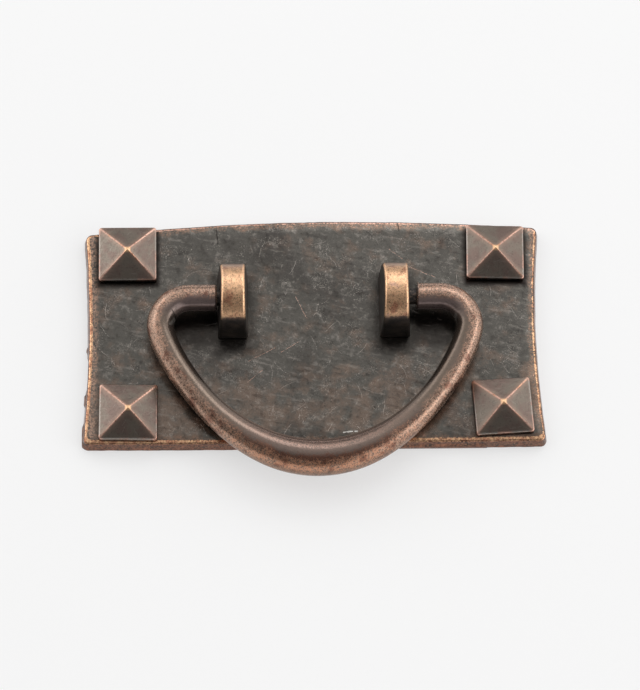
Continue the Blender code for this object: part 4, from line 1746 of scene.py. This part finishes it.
def set_camera():
    """Stand the camera where the photograph was taken."""
    lens = bpy.data.cameras.new("photo_camera")
    lens.sensor_width = SENSOR_WIDTH
    lens.lens = FOCAL_PIXELS / FRAME_LONG_SIDE * SENSOR_WIDTH
    lens.clip_start = CLIP_START
    lens.clip_end = CLIP_END
    back = direction(CAMERA_AZIMUTH, CAMERA_ELEVATION)
    turn = math.radians(CAMERA_AZIMUTH)
    level = Vector((math.cos(turn), math.sin(turn), 0))
    upright = back.cross(level)
    roll = math.radians(CAMERA_ROLL)
    right = math.cos(roll) * level - math.sin(roll) * upright
    up = math.sin(roll) * level + math.cos(roll) * upright
    holder = bpy.data.objects.new("photo_camera", lens)
    place = Matrix((right, up, back)).transposed().to_4x4()
    place.translation = right * CAMERA_ASIDE + up * CAMERA_BELOW + back * CAMERA_DISTANCE
    holder.matrix_world = place
    bpy.context.scene.collection.objects.link(holder)
    bpy.context.scene.camera = holder


# Operators and panel


class PULL_OT_backplate(bpy.types.Operator):
    """Build the forged backplate."""

    bl_idname = "pull.backplate"
    bl_label = "Backplate"

    def execute(self, context):
        scene = context.scene
        material = plate_patina(scene.pull_colours)
        make_backplate(scene.pull_backplate, scene.pull_posts, scene.pull_studs, material)
        return {"FINISHED"}


class PULL_OT_posts(bpy.types.Operator):
    """Build the two eye posts that carry the bail."""

    bl_idname = "pull.posts"
    bl_label = "Eye posts"

    def execute(self, context):
        scene = context.scene
        material = post_copper(scene.pull_colours)
        for node, side in zip(POST_NODES, (-1, 1)):
            make_post(node, side, scene.pull_posts, scene.pull_bail, material)
        return {"FINISHED"}


class PULL_OT_bail(bpy.types.Operator):
    """Build the swinging bail with its pivot pins."""

    bl_idname = "pull.bail"
    bl_label = "Bail"

    def execute(self, context):
        scene = context.scene
        bar = bail_copper(scene.pull_colours)
        pin = pin_black(scene.pull_colours)
        make_bail(scene.pull_bail, scene.pull_backplate, bar, pin)
        return {"FINISHED"}


class PULL_OT_studs(bpy.types.Operator):
    """Set the four pyramid studs."""

    bl_idname = "pull.studs"
    bl_label = "Pyramid studs"

    def execute(self, context):
        scene = context.scene
        make_studs(scene.pull_studs, stud_copper(scene.pull_colours, scene.pull_studs))
        return {"FINISHED"}


class PULL_OT_stage(bpy.types.Operator):
    """Lay the floor, hang the lamps and stand the camera."""

    bl_idname = "pull.stage"
    bl_label = "Stage"

    def execute(self, context):
        settings = context.scene.pull_light
        lay_floor(settings)
        room_light(settings)
        soft_lamp(*KEY_LAMP, settings.key)
        soft_lamp(*LEFT_LAMP, settings.left)
        soft_lamp(*RIGHT_LAMP, settings.right)
        context.scene.view_settings.view_transform = "Standard"
        set_camera()
        return {"FINISHED"}


SETTINGS = (
    ("pull_backplate", BackplateSizes),
    ("pull_posts", PostSizes),
    ("pull_bail", BailSizes),
    ("pull_studs", StudSizes),
    ("pull_colours", CopperColours),
    ("pull_light", StudioLight),
)
OPERATORS = (PULL_OT_backplate, PULL_OT_posts, PULL_OT_bail, PULL_OT_studs, PULL_OT_stage)


class PULL_PT_panel(bpy.types.Panel):
    """Sizes, colours and build buttons of the pull."""

    bl_idname = "PULL_PT_panel"
    bl_label = "Studded bail pull"
    bl_space_type = "VIEW_3D"
    bl_region_type = "UI"
    bl_category = "Pull"

    def draw(self, context):
        for operator in OPERATORS:
            self.layout.operator(operator.bl_idname)
        for name, group in SETTINGS:
            box = self.layout.box()
            settings = getattr(context.scene, name)
            for field in group.__annotations__:
                box.prop(settings, field)


def register():
    for name, group in SETTINGS:
        bpy.utils.register_class(group)
        setattr(bpy.types.Scene, name, bpy.props.PointerProperty(type=group))
    for operator in OPERATORS:
        bpy.utils.register_class(operator)
    bpy.utils.register_class(PULL_PT_panel)


def unregister():
    bpy.utils.unregister_class(PULL_PT_panel)
    for operator in reversed(OPERATORS):
        bpy.utils.unregister_class(operator)
    for name, group in reversed(SETTINGS):
        delattr(bpy.types.Scene, name)
        bpy.utils.unregister_class(group)


def main():
    """Build every piece."""
    register()
    bpy.ops.pull.backplate()
    bpy.ops.pull.posts()
    bpy.ops.pull.bail()
    bpy.ops.pull.studs()
    bpy.ops.pull.stage()


if __name__ == "__main__":
    main()
